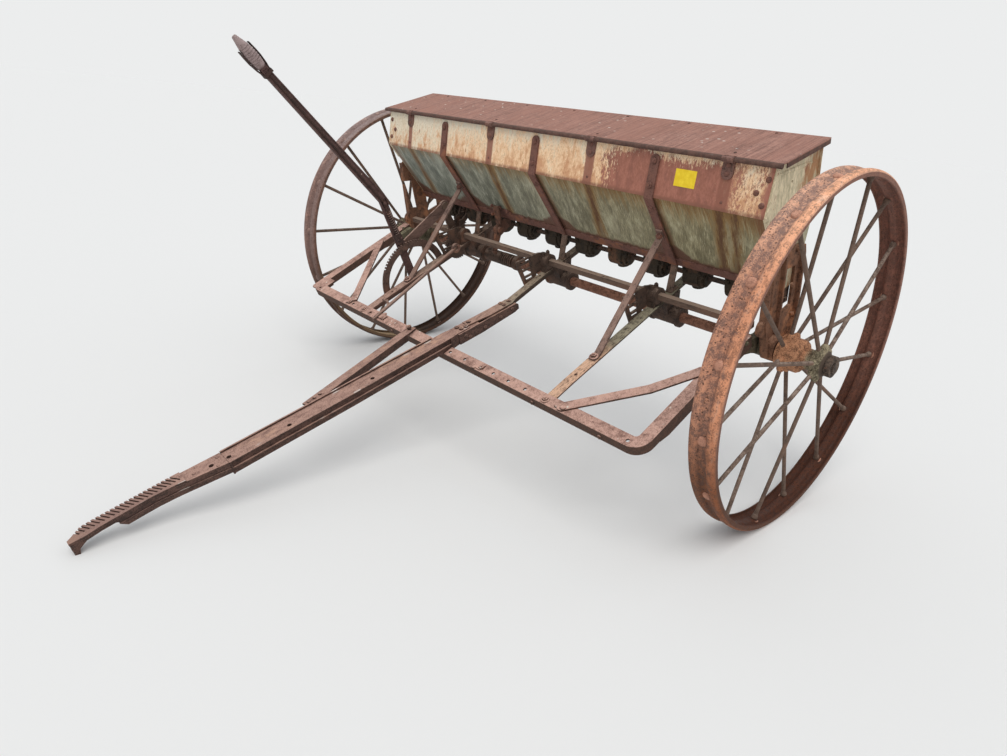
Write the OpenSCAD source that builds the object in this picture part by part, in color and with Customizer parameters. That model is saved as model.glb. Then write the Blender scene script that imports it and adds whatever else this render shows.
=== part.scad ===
// Old horse or tractor drawn seed drill, parked on its wheels and on the tip of its tongue.
// Millimetres. +X is the way it is towed, +Y its left side, +Z up.
// The machine is built level about the middle of the axle and then tipped forward by `pitch`.

/* [Wheels] */
// radius of a wheel over its tread
wheel_r = 610; // [500:1:700]
// width of the tread
tread_w = 92; // [70:1:120]
// distance from an end of the box to the middle of a tread
wheel_gap = 139; // [136:1:180]
// spokes in one wheel
spoke_n = 16; // [8:2:24]
// radius of one spoke
spoke_r = 7; // [5:0.5:10]

/* [Seed box] */
// length of the box over its end plates
box_len = 1940; // [1840:10:2400]
// how far the lid hangs over each end
lid_over = 25; // [10:1:40]
// number of seed cups
cup_n = 10; // [6:2:14]
// distance from one cup to the next
cup_gap = 178; // [168:1:186]

/* [Frame] */
// distance of the inner sills from the middle
sill_y = 555; // [540:1:562]
// front edge of the front bar ahead of the axle
front_x = 692; // [600:1:800]
// height of the front bar against the axle
front_z = -27; // [-60:1:20]
// slope of the front frame against the tongue
front_slope = 11; // [0:0.5:15]
// leg of the frame angles
leg = 44; // [30:1:60]
// depth of the frame angles
drop = 36; // [25:1:60]
// thickness of the frame angles
angle_t = 6; // [4:0.5:10]
// width of the inner sills
sill_w = 40; // [34:1:50]
// length of the side bars
side_len = 600; // [400:10:620]
// radius of the axle
axle_r = 19; // [16:1:24]

/* [Tongue] */
// tip of the tongue ahead of the axle
tongue_len = 2030; // [1600:10:2600]
// height of the tongue
tongue_h = 48; // [40:1:80]

/* [Lever] */
// radius of the toothed quadrant
quad_r = 175; // [120:1:220]
// width of the quadrant bar
quad_w = 32; // [20:1:45]
// side of the square rock shaft
rock_a = 22; // [18:1:28]
// width of the lever bar
lever_w = 38; // [30:1:50]
// play of a turning pin in its hole
pin_play = 0.1; // [0.05:0.01:0.3]

/* [Hidden] */
$fn = 48;

// the tip of the tongue rests on the ground: its underside lies this far above the line of the axle
tip_under = -17.24;
// angle of the parked machine against the level
pitch = asin(wheel_r / norm([tongue_len, tip_under])) + atan2(tip_under, tongue_len);
tongue_z = front_z + 1;
tongue_top = tongue_z + tongue_h;
// the toothed plate on the tongue stands this far above it
comb_rise = 4.35;
// the axle stands this far behind the middle of the whole machine
axle_back = (tongue_len * cos(pitch) + (tongue_top + comb_rise) * sin(pitch) - wheel_r) / 2;
axle_h = wheel_r;

// section of the seed box, front top, front knee, bottom front, bottom rear, rear knee, rear top
box_a = [62, 637];
box_b = [111, 495];
box_c = [-42, 190];
box_d = [-140, 190];
box_e = [-200, 400];
box_f = [-200, 645];
box_top = 645;
// outward turn of the front band
band_turn = 19.04;
sheet_t = 3;
box_y = box_len / 2;
frame_y = box_y - 10;
wheel_y = box_y + wheel_gap;
strap_ys = [-sill_y, 0, sill_y];
hinge_ys = [for (t = [-0.832, -0.267, 0.2845, 0.8475]) t * box_y];
lid_top = box_top + 4;
lid_axis = [77, lid_top - 7];
lid_back = box_f[0] - 8;

// pivots of the lift gear, seen from the machine's right with +X to the right
lever_p = [371, 2];
link_p = [380, 150];
arm_p = [116, 252];
rock_p = [75, 108];
lever_y = -592;
link_y = -610;
arm_y = -624;

function unit(v) = v / norm(v);
function side(p, q) = let(u = unit(q - p)) [-u[1], u[0]];
function mitre(a, b) = (a + b) / (1 + a * b);
function shifted(pts, d) = [for (i = [0:len(pts) - 1])
  let(a = side(pts[max(i - 1, 0)], pts[max(i, 1)]), b = i == len(pts) - 1 ? a : side(pts[i], pts[i + 1]))
  pts[i] + d * mitre(a, b)];
function turned(v) = [for (i = [len(v) - 1:-1:0]) v[i]];
function front_top(x) = front_z + (front_x - x) * tan(front_slope);

// the inner sills lap under the front bar and rise towards the rear
sill_sink = angle_t + 0.3;
sill_knee = front_x - 132;
sill_slope = 0.163;
sill_end = -190;
function sill_top(x) = x > sill_knee ? front_top(x) - sill_sink
  : front_top(sill_knee) - sill_sink + sill_slope * (sill_knee - x);
// half of a sill's width: the middle one is narrower
function sill_half(y) = y == 0 ? sill_w / 2 - 4 : sill_w / 2;
sill_path = [for (x = [front_x - 12, sill_knee, sill_end]) [x, sill_top(x)]];

// a bar of even thickness that follows a bent line
module strip(pts, d0, d1) {
  polygon(concat(shifted(pts, d0), turned(shifted(pts, d1))));
}

// a side view outline made into a plate from y0 to y1
module along_y(y0, y1) {
  translate([0, y1, 0])
    rotate([90, 0, 0])
      linear_extrude(y1 - y0)
        children();
}

// a round bar across the machine at side view point p
module bar_y(p, y0, y1, r) {
  translate([p[0], y1, p[1]])
    rotate([90, 0, 0])
      cylinder(h = y1 - y0, r = r);
}

// a round rod from one point to another
module rod(p, q, r) {
  v = q - p;
  translate(p)
    rotate([0, acos(v[2] / norm(v)), atan2(v[1], v[0])])
      cylinder(h = norm(v), r = r);
}

module both_sides() {
  children();
  mirror([0, 1, 0]) children();
}

// level machine to parked machine
module parked() {
  translate([-axle_back, 0, axle_h])
    rotate([0, pitch, 0])
      children();
}

// flat work on the front band: x across, y up the band, z outward
module on_band(y) {
  translate([box_a[0], y, box_a[1]])
    rotate([0, -band_turn, 0])
      rotate([90, 0, 90])
        children();
}

// flat work on the sloping front frame: x forward from the front edge, z up
module on_front() {
  translate([front_x, 0, front_z])
    rotate([0, front_slope, 0])
      children();
}

// axle and its bearings

module axle() {
  color([0.42, 0.24, 0.19]) parked() {
    bar_y([0, 0], -wheel_y - 89, wheel_y + 89, axle_r);
    both_sides() {
      bar_y([0, 0], wheel_y + 69, wheel_y + 89, 36);
      bar_y([0, 0], wheel_y + 87, wheel_y + 95, 22);
    }
  }
}

module axle_sleeves() {
  color([0.33, 0.27, 0.22]) parked() {
    for (s = [-1, 0, 1]) {
      y = s * sill_y;
      difference() {
        union() {
          bar_y([0, 0], y - 62, y + 62, 35);
          bar_y([0, 0], y + 52, y + 64, 40);
          bar_y([0, 0], y - 64, y - 54, 40);
          // saddle that carries the sill
          along_y(y - sill_half(y) + angle_t + 0.3, y + 24)
            polygon([[-30, 0], [30, 0], [44, sill_top(44) - angle_t - 0.3],
              [-44, sill_top(-44) - angle_t - 0.3]]);
        }
        bar_y([0, 0], y - 70, y + 70, axle_r);
      }
    }
    // rings of a coil and a collar beside the right sill
    for (i = [0:5]) {
      difference() {
        bar_y([0, 0], -372 + i * 13, -364 + i * 13, 30);
        bar_y([0, 0], -380 + i * 13, -350 + i * 13, axle_r);
      }
    }
    difference() {
      union() {
        bar_y([0, 0], -480, -376, 29);
        bar_y([0, 0], -286, -262, 34);
      }
      bar_y([0, 0], -490, -250, axle_r);
    }
  }
}

// front frame: a bar with a square end on the right and a bent corner on the left

module frame_outline(inset) {
  r = 58 - inset;
  x1 = -inset;
  y1 = frame_y - inset;
  union() {
    translate([-700, -y1]) square([700 + x1 - r, 2 * y1]);
    translate([-700, -y1]) square([700 + x1, 2 * y1 - r]);
    translate([x1 - r, y1 - r]) circle(r = r, $fn = 64);
  }
}

module frame_angle(depth) {
  translate([0, 0, -angle_t])
    linear_extrude(angle_t)
      difference() {
        frame_outline(0);
        frame_outline(leg);
      }
  translate([0, 0, -depth])
    linear_extrude(depth)
      difference() {
        frame_outline(0);
        frame_outline(angle_t);
      }
}

front_holes = [-frame_y + 18, -650, -510, 44, 130, 290, 369, 453, frame_y - 62];

module front_bar() {
  color([0.55, 0.33, 0.29]) parked() on_front()
    difference() {
      intersection() {
        frame_angle(drop);
        translate([-90, -frame_y + 2.4, -100]) cube([100, 2 * frame_y, 120]);
      }
      for (y = front_holes)
        translate([-20, y, -20]) cylinder(h = 40, r = 6.5);
    }
}

// the left side bar grows deeper behind the bent corner
module side_bar_left() {
  color([0.52, 0.31, 0.27]) parked() on_front()
    intersection() {
      frame_angle(drop + 12);
      along_y(0, frame_y + 1)
        polygon([[-side_len, 20], [-side_len, -drop - 14], [-135, -drop - 14], [-135, -drop - 12],
          [-90.1, -drop - 2], [-90.1, 20]]);
    }
}

// the right side bar lies outside the front bar's square end, with its hanging leg on the inner edge
module side_bar_right() {
  y = -frame_y + 2;
  color([0.52, 0.31, 0.27]) parked() on_front() {
    translate([0, 0, -angle_t])
      linear_extrude(angle_t)
        polygon([[-side_len, y], [-side_len, y - leg], [-16, y - leg], [-6, y - leg + 8], [-6, y]]);
    translate([-side_len, y - angle_t, -drop + 4]) cube([side_len - 6, angle_t, drop - 4]);
  }
}

// an inner sill: flat leg on top and a leg hanging on its right side
module sill(y, half, path, leg_from) {
  difference() {
    union() {
      along_y(y - half, y + half) strip(path, 0, angle_t);
      along_y(y - half, y - half + angle_t)
        difference() {
          strip(path, 0, 40);
          translate([leg_from, -200]) square([400, 400]);
        }
    }
    bar_y([0, 0], y - 66, y + 66, 41.3);
  }
}

module sill_left() {
  color([0.55, 0.37, 0.28]) parked() difference() {
    sill(sill_y, sill_half(sill_y), sill_path, front_x - leg - 4);
    translate([524, sill_y, -50]) cylinder(h = 150, r = 5.5);
  }
}

module sill_right() {
  color([0.50, 0.31, 0.26]) parked() difference() {
    sill(-sill_y, sill_half(sill_y), sill_path, front_x - leg - 4);
    translate([518, -sill_y, -50]) cylinder(h = 150, r = 5.5);
  }
}

// the middle sill comes down on the channel of the tongue and ends on the beam, a little to the right
module sill_middle() {
  z = tongue_z + channel_h + 0.3 + angle_t;
  path = [[beam_tail + 45, z], [312, z + 2], [96, sill_top(96)], [sill_end, sill_top(sill_end)]];
  half = sill_half(0);
  color([0.50, 0.31, 0.26]) parked()
    difference() {
      union() {
        intersection() {
          along_y(-60, 60) strip(path, 0, angle_t);
          translate([0, 0, -100])
            linear_extrude(300)
              polygon([[-400, -half], [350, -half], [475, -21], [beam_tail + 70, -28], [beam_tail + 70, 9],
                [470, 19], [440, 25], [320, 25], [290, half], [-400, half]]);
        }
        along_y(-half, -half + angle_t)
          difference() {
            strip(path, 0, 40);
            translate([284, -200]) square([400, 400]);
          }
      }
      bar_y([0, 0], -66, 66, 41.3);
      translate([129, 0, 0]) cylinder(h = 100, r = 5);
    }
}

// flat bars on top, between the front bar and the side bars
module diagonal_left() {
  color([0.55, 0.35, 0.31]) parked() on_front()
    translate([0, 0, 0.3]) linear_extrude(7) difference() {
      union() {
        strip([[-20, 629], [-228, 826], [-361, 911], [-381, 922]], -18, 18);
        translate([-20, 629]) circle(r = 18);
      }
      translate([-20, 629]) circle(r = 6);
    }
}

module diagonal_right() {
  color([0.55, 0.35, 0.31]) parked() on_front()
    translate([0, 0, 0.3]) linear_extrude(7) strip([[-32, -662], [-421, -frame_y - 14]], -17, 17);
}

// bent flat bars from a sill up to the foot of a strap
module strut(y) {
  u = [0.448, 0.894];
  n = [0.894, -0.448];
  head = box_c + 170 * u + 13.4 * n;
  path = [[440, sill_top(440) + 0.9], [408, sill_top(408) + 0.9], head - 10 * u, head + 22 * u];
  along_y(y - 13, y + 13) strip(path, 0, -7);
}

module strut_left() {
  color([0.52, 0.38, 0.35]) parked() strut(sill_y);
}

module strut_right() {
  color([0.52, 0.38, 0.35]) parked() strut(-sill_y);
}

// seed box

module posts() {
  foot = [-6, sill_top(-6) + 0.3];
  heel = [-46, sill_top(-46) + 0.3];
  color([0.42, 0.30, 0.24]) parked()
    for (y = strap_ys) {
      along_y(y - 13, y + 13) strip([box_c + [2, -5.5], foot + [0, 2]], -4, 4);
      along_y(y - 13, y + 13) strip([heel, foot + [4, -0.65]], 0, 6);
    }
}

module straps() {
  u = [0.448, 0.894];
  n = [0.894, -0.448];
  color([0.42, 0.22, 0.17]) parked()
    for (y = strap_ys) {
      d = unit(box_b - box_a);
      top = box_a + 34 * d;
      foot = box_c + 6 * u + 5.2 * n;
      along_y(y - 17, y + 17) strip([top, box_b + 6 * d, foot], 2.3, 8.3);
      on_band(y) translate([0, -34, 2.3]) cylinder(h = 6, r = 18);
    }
}

module hopper_shell() {
  color([0.58, 0.60, 0.52]) parked()
    along_y(-box_y + 4, box_y - 4)
      strip([[box_a[0] - 2.8, box_top], box_b, box_c, box_d, box_e, box_f], 0, -sheet_t);
}

module hopper_band() {
  color([0.75, 0.52, 0.38]) parked() {
    d = unit(box_b - box_a);
    along_y(-box_y, box_y) strip([box_a, box_b + 4 * d], 0.1, 2.1);
  }
}

module hopper_ends() {
  color([0.60, 0.60, 0.50]) parked() both_sides() {
    along_y(box_y - 4, box_y) difference() {
      polygon([[box_a[0] - 2.8, box_top], box_b, box_c, box_d, box_e, box_f]);
      translate([-40, 560]) circle(r = 5);
    }
    // folded rim of the end plate
    along_y(box_y, box_y + 9) strip([[box_a[0] - 4, box_top - 1], box_b + [-1, 0], [74, 421]], -3, 0);
    along_y(box_y, box_y + 9) strip([[box_f[0] + 1, 410], [box_f[0] + 1, box_top - 1]], -3, 0);
  }
}

module box_rail() {
  u = [0.448, 0.894];
  color([0.42, 0.20, 0.15]) parked() {
    along_y(-box_y + 1, box_y - 1) strip([box_c + 34 * u, box_c, box_c + [-30, 0]], 0.1, 5);
    along_y(-box_y + 1, box_y - 1) strip([box_d + [26, 0], box_d, box_d + [-9, 31.5]], 0.1, 5);
  }
}

module lid_hinges() {
  color([0.40, 0.22, 0.18]) parked()
    for (y = hinge_ys) {
      difference() {
        union() {
          bar_y(lid_axis, y - 20, y + 20, 9);
          along_y(y - 20, y + 20)
            polygon([for (d = [[-7, -8], [7, -8], [2, -2], [-5, -2]]) lid_axis + d]);
          on_band(y) translate([-20, -40, 2.2]) cube([40, 42, 5]);
          on_band(y) translate([0, -40, 2.2]) cylinder(h = 5, r = 20);
        }
        bar_y(lid_axis, y - 30, y + 30, 4 + pin_play);
      }
    }
}

module sticker() {
  color([0.93, 0.83, 0.05]) parked()
    on_band(0.7 * box_y) translate([-39, -104, 2.2]) cube([78, 54, 0.8]);
}

module lid() {
  z = lid_top;
  y1 = box_y + lid_over;
  color([0.55, 0.37, 0.34]) parked() {
    difference() {
      union() {
        along_y(-y1, y1)
          polygon([[lid_back, z - 3], [lid_axis[0], z - 3], [lid_axis[0], z], [lid_back, z]]);
        bar_y(lid_axis, -y1, y1, 7);
        along_y(-y1, y1)
          polygon([[lid_back, z - 19], [lid_back + 3, z - 19], [lid_back + 3, z - 1], [lid_back, z - 1]]);
        for (s = [-1, 1])
          along_y(s > 0 ? y1 - 3 : -y1, s > 0 ? y1 : -y1 + 3)
            polygon([[lid_back, z - 19], [50, z - 19], [50, z - 1], [lid_back, z - 1]]);
      }
      for (y = hinge_ys)
        translate([lid_axis[0] - 12, y - 21, lid_axis[1] - 12]) cube([24, 42, 24]);
    }
    for (y = hinge_ys)
      bar_y(lid_axis, y - 24, y + 24, 4);
  }
}

// castings at the ends of the box and round the axle

// room between the right casting and the rear end of a longer side bar
bar_room = 3;

module end_castings() {
  face = [[66, 385], [48, 398], [-120, 330], [-128, 300], [-122, 60], [-60, -20], [50, -20], [84, 120]];
  color([0.45, 0.25, 0.19]) parked() both_sides()
    difference() {
      union() {
        along_y(box_y + 0.1, box_y + 10) polygon(face);
        along_y(box_y + 0.1, box_y + 26) strip([face[0], face[7], face[6]], -9, 0);
        along_y(box_y + 0.1, box_y + 26) strip([face[2], face[3], face[4], face[5]], 0, -9);
        along_y(box_y + 0.1, box_y + 24) strip([[-10, 30], [-20, 330]], -5, 5);
        bar_y([0, 0], box_y - 8, box_y + 40, 46);
        bar_y(rock_p, box_y + 1, box_y + 22, 30);
      }
      bar_y([0, 0], box_y - 10, box_y + 60, axle_r);
      along_y(box_y - 1, box_y + 30) polygon([[28, 150], [66, 160], [74, 300], [30, 290]]);
      along_y(box_y - 1, box_y + 30) polygon([[-100, 120], [-34, 110], [-42, 270], [-106, 262]]);
      on_front()
        translate([-side_len - bar_room, frame_y - 2 - bar_room, -drop - bar_room])
          cube([side_len, leg + 2 * bar_room, drop + 2 * bar_room]);
    }
}

// the left one is bolted under the side bar, the right one to the side bar's hanging leg
module axle_bracket(y) {
  difference() {
    union() {
      bar_y([0, 0], frame_y - 45, frame_y, 40);
      along_y(y - 28, y) difference() {
        polygon([[0, -38], [80, 4], [196, 44], [204, 60], [112, front_top(112) - angle_t - 1.5], [96, 62],
          [-24, 36], [-40, 0]]);
        polygon([[60, 22], [150, 48], [112, 60], [66, 48]]);
      }
    }
    bar_y([0, 0], frame_y - 60, frame_y + 10, axle_r);
  }
}

module axle_brackets() {
  color([0.36, 0.36, 0.27]) parked() {
    axle_bracket(frame_y - 10);
    mirror([0, 1, 0]) axle_bracket(frame_y - 2.3);
  }
}

// bearings of the rock shaft, one on each inner sill

function rear_rail(z) = 152 + (z - 62) * 0.09;
function front_rail(z) = 184 + (z - 40) * 0.32;
rungs = [[60, 72.5], [79.5, 103.5], [110.5, 133.5], [140.5, 150]];

// ladder shaped plate from y0 to y1 whose feet stand at dz against the top of the sill
module ladder(y0, y1, dz) {
  along_y(y0, y1) difference() {
    polygon([[50, sill_top(50) + 4], [54, 134], [104, 152], [234, 160], [230, 132],
      [front_rail(sill_top(200)) + 12, sill_top(200) + dz], [138, sill_top(138) + dz], [130, sill_top(130) + 6]]);
    for (r = rungs)
      polygon([[rear_rail(max(r[0], sill_top(160) + dz + 8)), max(r[0], sill_top(160) + dz + 8)],
        [front_rail(max(r[0], sill_top(160) + dz + 8)), max(r[0], sill_top(160) + dz + 8)],
        [front_rail(r[1]), r[1]], [rear_rail(r[1]), r[1]]]);
  }
}

module rock_bearings() {
  color([0.34, 0.28, 0.23]) parked()
    for (y = [-sill_y, 0, sill_y])
      difference() {
        half = sill_half(y);
        union() {
          if (y < 0)
            ladder(y - 12, y - 2, 0.3);
          else
            ladder(y - half - 10, y - half - 0.3, -12);
          bar_y(rock_p, y - 34, y + 18, 32);
          along_y(y - half, y + 12)
            polygon([[48, sill_top(48) + 0.3], [104, sill_top(104) + 0.3], [100, 100], [50, 100]]);
        }
        bar_y(rock_p, y - 40, y + 30, rock_a / sqrt(2) + 0.3);
      }
}

module rock_shaft() {
  ang = atan2(arm_p[1] - rock_p[1], arm_p[0] - rock_p[0]);
  color([0.40, 0.32, 0.28]) parked() {
    translate([rock_p[0] - rock_a / 2, -box_y + 25, rock_p[1] - rock_a / 2])
      cube([rock_a, box_len - 50, rock_a]);
    // arm with the pin that carries the link
    bar_y(rock_p, arm_y - 14, arm_y + 8, 30);
    along_y(arm_y - 5, arm_y + 5)
      translate(rock_p) rotate(ang) polygon([[0, -22], [150, -15], [150, 15], [0, 22]]);
    bar_y(arm_p, arm_y - 5, arm_y + 5, 18);
    bar_y(arm_p, arm_y, link_y + 9, 9);
    bar_y(arm_p, link_y + 5, link_y + 9, 19);
  }
}

// feed

cup_ys = [for (i = [0:cup_n - 1]) (i - (cup_n - 1) / 2) * cup_gap];
feed_p = [-90, 139];
// the right bearing of the feed shaft stands this far outside the middle of the last cup
feed_bearing = 67;

module feed_cups() {
  color([0.20, 0.19, 0.15]) parked()
    for (y = cup_ys)
      difference() {
        union() {
          bar_y(feed_p, y - 40, y + 24, 44);
          bar_y(feed_p, y + 24, y + 40, 38);
          bar_y(feed_p, y - 48, y - 40, 32);
          bar_y(feed_p, y + 40, y + 48, 27);
          along_y(y - 44, y + 44) polygon([[-132, 184.8], [-50, 184.8], [-54, 150], [-128, 150]]);
          translate([-96, y, 90]) cylinder(h = 50, r1 = 24, r2 = 34);
        }
        bar_y(feed_p, y - 60, y + 60, 11);
        translate([-96, y, 80]) cylinder(h = 36, r = 17);
      }
}

module feed_shaft() {
  color([0.30, 0.22, 0.18]) parked() {
    y0 = cup_ys[0] - feed_bearing;
    translate([feed_p[0] - 7, y0 - 12, feed_p[1] - 7]) cube([14, box_y - y0 + 12, 14]);
    for (y = [y0, box_y - 15])
      along_y(y - 6, y + 6)
        polygon([[-120, 184.7], [-60, 184.7], [-64, 122], [-116, 122]]);
  }
}

// a plain toothed wheel: n teeth of the given module, thickness along Y
module gear(p, y0, y1, m, n, turn) {
  r = m * n / 2;
  along_y(y0, y1)
    translate(p) rotate(turn) union() {
      circle(r = r - 1.2 * m);
      for (i = [0:n - 1])
        rotate(i * 360 / n)
          polygon([[r - 1.6 * m, -0.9 * m], [r + 0.8 * m, -0.38 * m], [r + 0.8 * m, 0.38 * m],
            [r - 1.6 * m, 0.9 * m]]);
    }
}

gear_m = 4;
axle_teeth = 36;
idler_teeth = 18;
feed_teeth = 16;
gear_y = -4 * cup_gap;
// a wheel that meshes with the one on the axle and with the one on the feed shaft
function meshing(f, ra, rb) =
  let(d = norm(f), a = (ra * ra - rb * rb + d * d) / (2 * d), h = sqrt(ra * ra - a * a))
  [f[0] * a - f[1] * -h, f[1] * a + f[0] * -h] / d;

module drive_gears() {
  idler = meshing(feed_p, gear_m * (axle_teeth + idler_teeth) / 2, gear_m * (feed_teeth + idler_teeth) / 2);
  color([0.24, 0.20, 0.16]) parked()
    difference() {
      union() {
        gear([0, 0], gear_y - 10, gear_y + 6, gear_m, axle_teeth, 0);
        gear(idler, gear_y - 10, gear_y + 6, gear_m, idler_teeth, 6);
        gear(feed_p, gear_y - 10, gear_y + 6, gear_m, feed_teeth, 8);
        bar_y([0, 0], gear_y - 32, gear_y + 26, 36);
        bar_y(idler, gear_y - 20, gear_y + 22, 14);
        bar_y(feed_p, gear_y - 26, gear_y + 16, 20);
        along_y(gear_y + 12, gear_y + 22) strip([[0, 30], idler, feed_p, feed_p + [-2, 48]], -11, 11);
        along_y(gear_y - 26, gear_y - 16) polygon([[-14, 20], [14, 20], [-78, 189.7], [-108, 189.7]]);
      }
      bar_y([0, 0], gear_y - 100, gear_y + 100, axle_r);
      bar_y(feed_p, gear_y - 100, gear_y + 100, 11);
    }
}

// feed rate lever on the front of the box
module rate_lever() {
  color([0.40, 0.22, 0.17]) parked() {
    along_y(-372, -360)
      polygon([[-62, 184.7], [-24, 184.7], [20, 176], [48, 110], [60, 60], [44, 56], [10, 120], [-62, 150]]);
    along_y(-382, -348) strip([[14, 262], [8, 215], [8, 176]], -4, 4);
    bar_y([14, 150], -386, -346, 16);
    translate([50, -366, 48]) rotate([0, 20, 0]) cylinder(h = 16, r = 9);
  }
}

// lever, quadrant, link

module quadrant() {
  n_teeth = 21;
  color([0.34, 0.22, 0.20]) parked() {
    along_y(-sill_y - 28, -sill_y - 20.1)
      difference() {
        translate(lever_p) circle(r = quad_r, $fn = 96);
        translate(lever_p) circle(r = quad_r - quad_w, $fn = 96);
        translate(lever_p) rotate(-9) translate([-400, -400]) square([800, 400]);
        for (i = [0:n_teeth - 1])
          translate(lever_p) rotate(34 + i * 4.6) translate([quad_r - 8, -2.5]) square([20, 5]);
      }
    // base bar bolted to the side of the sill, with the pivot stud
    along_y(-sill_y - 28, -sill_y - 20.1)
      strip([[548, sill_top(548) - 4], [190, sill_top(190) - 4]], 0, 34);
    bar_y(lever_p, -sill_y - 28, -sill_y - 20.1, 26);
    bar_y(lever_p, lever_y - 16, -sill_y - 20.1, 9);
    bar_y(lever_p, lever_y - 16, lever_y - 6.5, 17);
  }
}

lever_bend = [442, 392];
lever_tip = [867, 1100];

// rotates a turned shape that stands on +Z into the direction of the upper lever bar
module on_handle(from_tip) {
  d2 = unit(lever_tip - lever_bend);
  translate([lever_tip[0] - from_tip * d2[0], lever_y, lever_tip[1] - from_tip * d2[1]])
    rotate([0, atan2(d2[0], d2[1]), 0])
      children();
}

grip_len = 128;
neck = lever_tip - grip_len * unit(lever_tip - lever_bend);

// one side line of the lever at out from its middle, narrower at the neck
// from: 1 starts at the pivot, 0 at the bend
function lever_side(out, from) = let(n1 = side(lever_p, lever_bend), n2 = side(lever_bend, lever_tip))
  [from * lever_p + (1 - from) * lever_bend + out * n1, lever_bend + out * mitre(n1, n2),
    neck + (out - 4.5 * sign(out)) * n2];

module hand_lever() {
  e2 = unit(lever_tip - lever_bend);
  w = lever_w / 2;
  color([0.33, 0.23, 0.22]) parked() {
    difference() {
      union() {
        along_y(lever_y - 6, lever_y - 1) union() {
          polygon(concat(lever_side(w, 1), turned(lever_side(-w, 1))));
          strip([neck - 4 * e2, neck + 8 * e2], -12, 12);
          translate(lever_p) circle(r = 25);
          translate(link_p) circle(r = 21);
        }
        // raised edges along the upper bar
        for (s = [-1, 1])
          along_y(lever_y - 2, lever_y + 8)
            polygon(concat(lever_side(s * w, 0.08), turned(lever_side(s * (w - 4.6), 0.08))));
        bar_y(lever_p, lever_y - 2, lever_y + 4, 22);
        // turned grip, thickest above the bar, with a cap on its tip
        on_handle(grip_len) rotate_extrude($fn = 64)
          polygon([[0, -10], [12, -10], [14, -4], [18, 2], [20.5, 20], [22, 44], [21.4, 64], [19, 84],
            [15, 102], [11.5, 114], [11.5, 117], [10, 118], [9.6, 124], [7, 128], [0, 128]]);
      }
      bar_y(lever_p, lever_y - 20, lever_y + 20, 9 + pin_play);
    }
    // pin that the link turns on
    bar_y(link_p, link_y - 8, lever_y - 2, 9);
    bar_y(link_p, link_y - 9, link_y - 5.5, 16);
  }
}

// latch rod, spring and squeeze handle, carried by the lever
module lever_latch() {
  d1 = unit(lever_bend - lever_p);
  d2 = unit(lever_tip - lever_bend);
  a = lever_p + (quad_r + 6) * d1;
  b = lever_bend - 16 * d1;
  top = lever_tip - (grip_len + 28) * d2;
  rod_y = lever_y + 5.2;
  color([0.22, 0.17, 0.16]) parked() {
    // dog box above the quadrant, and the spring over it
    along_y(lever_y - 0.9, lever_y + 16) strip([a, a + 46 * d1], -15, 15);
    rod([a[0] + 40 * d1[0], rod_y, a[1] + 40 * d1[1]], [b[0], rod_y, b[1]], 4.5);
    for (i = [0:8])
      rod([a[0] + (52 + i * 12) * d1[0], rod_y, a[1] + (52 + i * 12) * d1[1]],
        [a[0] + (58 + i * 12) * d1[0], rod_y, a[1] + (58 + i * 12) * d1[1]], 6);
    along_y(lever_y - 0.9, lever_y + 12) translate(b) circle(r = 10);
    rod([b[0], rod_y, b[1]], [top[0], rod_y, top[1]], 4.5);
    // squeeze handle: two thin leaves beside the grip and the yoke that joins them
    for (s = [-1, 1])
      on_handle(grip_len + 30)
        translate([0, -7, 0]) rotate([90, 0, 0]) translate([0, 0, -14]) linear_extrude(14)
          polygon([for (p = [[16, 0], [19.4, 0], [19.8, 14], [23.4, 28], [27.4, 60], [27.6, 84], [26.2, 114],
            [23.6, 114], [24.6, 84], [24.4, 60], [19.8, 28], [16.2, 16]]) [s * p[0], p[1]]]);
    for (s = [-1, 1])
      on_handle(grip_len + 36) translate([s * 17.9 - 2, -7, 0]) cube([4, 19.4, 14]);
    on_handle(grip_len + 35) translate([-18, 8.5, 0]) cube([36, 4, 12]);
    on_handle(grip_len + 34) translate([-6, 0.3, 0]) cube([12, 10.5, 10]);
  }
}

module lift_link() {
  color([0.52, 0.44, 0.40]) parked()
    difference() {
      along_y(link_y - 4, link_y + 4) union() {
        strip([link_p, arm_p], -22, 26);
        translate(link_p) circle(r = 24);
        translate(arm_p) circle(r = 26);
      }
      bar_y(link_p, link_y - 10, link_y + 10, 9 + pin_play);
      bar_y(arm_p, link_y - 10, link_y + 10, 14.5);
    }
}

// long round rod over the front bar, with a hook at the back and a clip at the front
module pull_rod() {
  a = [front_x + 14, -sill_y + 115, front_top(front_x + 14) + 9.2];
  b = [160, -sill_y + sill_half(sill_y) + 7.3, 74];
  c = a + 0.17 * (b - a);
  color([0.62, 0.52, 0.50]) parked() {
    rod(a, b, 7.5);
    translate(b + [-8, 0, 1]) rotate([90, 0, 0]) difference() {
      cylinder(h = 14, r = 22, center = true);
      cylinder(h = 20, r = 11, center = true);
    }
    rod(c, c + [-26, -40, 6], 5.5);
    rod(c + [-24, -10, -6], c + [-2, -36, 24], 5);
  }
}

// tongue

// where the beam begins inside the channel, and the height of the channel there
beam_tail = 500;
channel_h = tongue_h - 4;
// where the head is joined to the beam, and where the toothed plate begins
head_x = tongue_len - 470;
comb_x = tongue_len - 340;

// left edge of the beam, moved in by d
function beam_near(d) = [[beam_tail, 26 - d], [612, 26 - d], [640, 30 - d], [tongue_len - 930, 42 - d],
  [head_x, 44 - d]];

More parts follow.
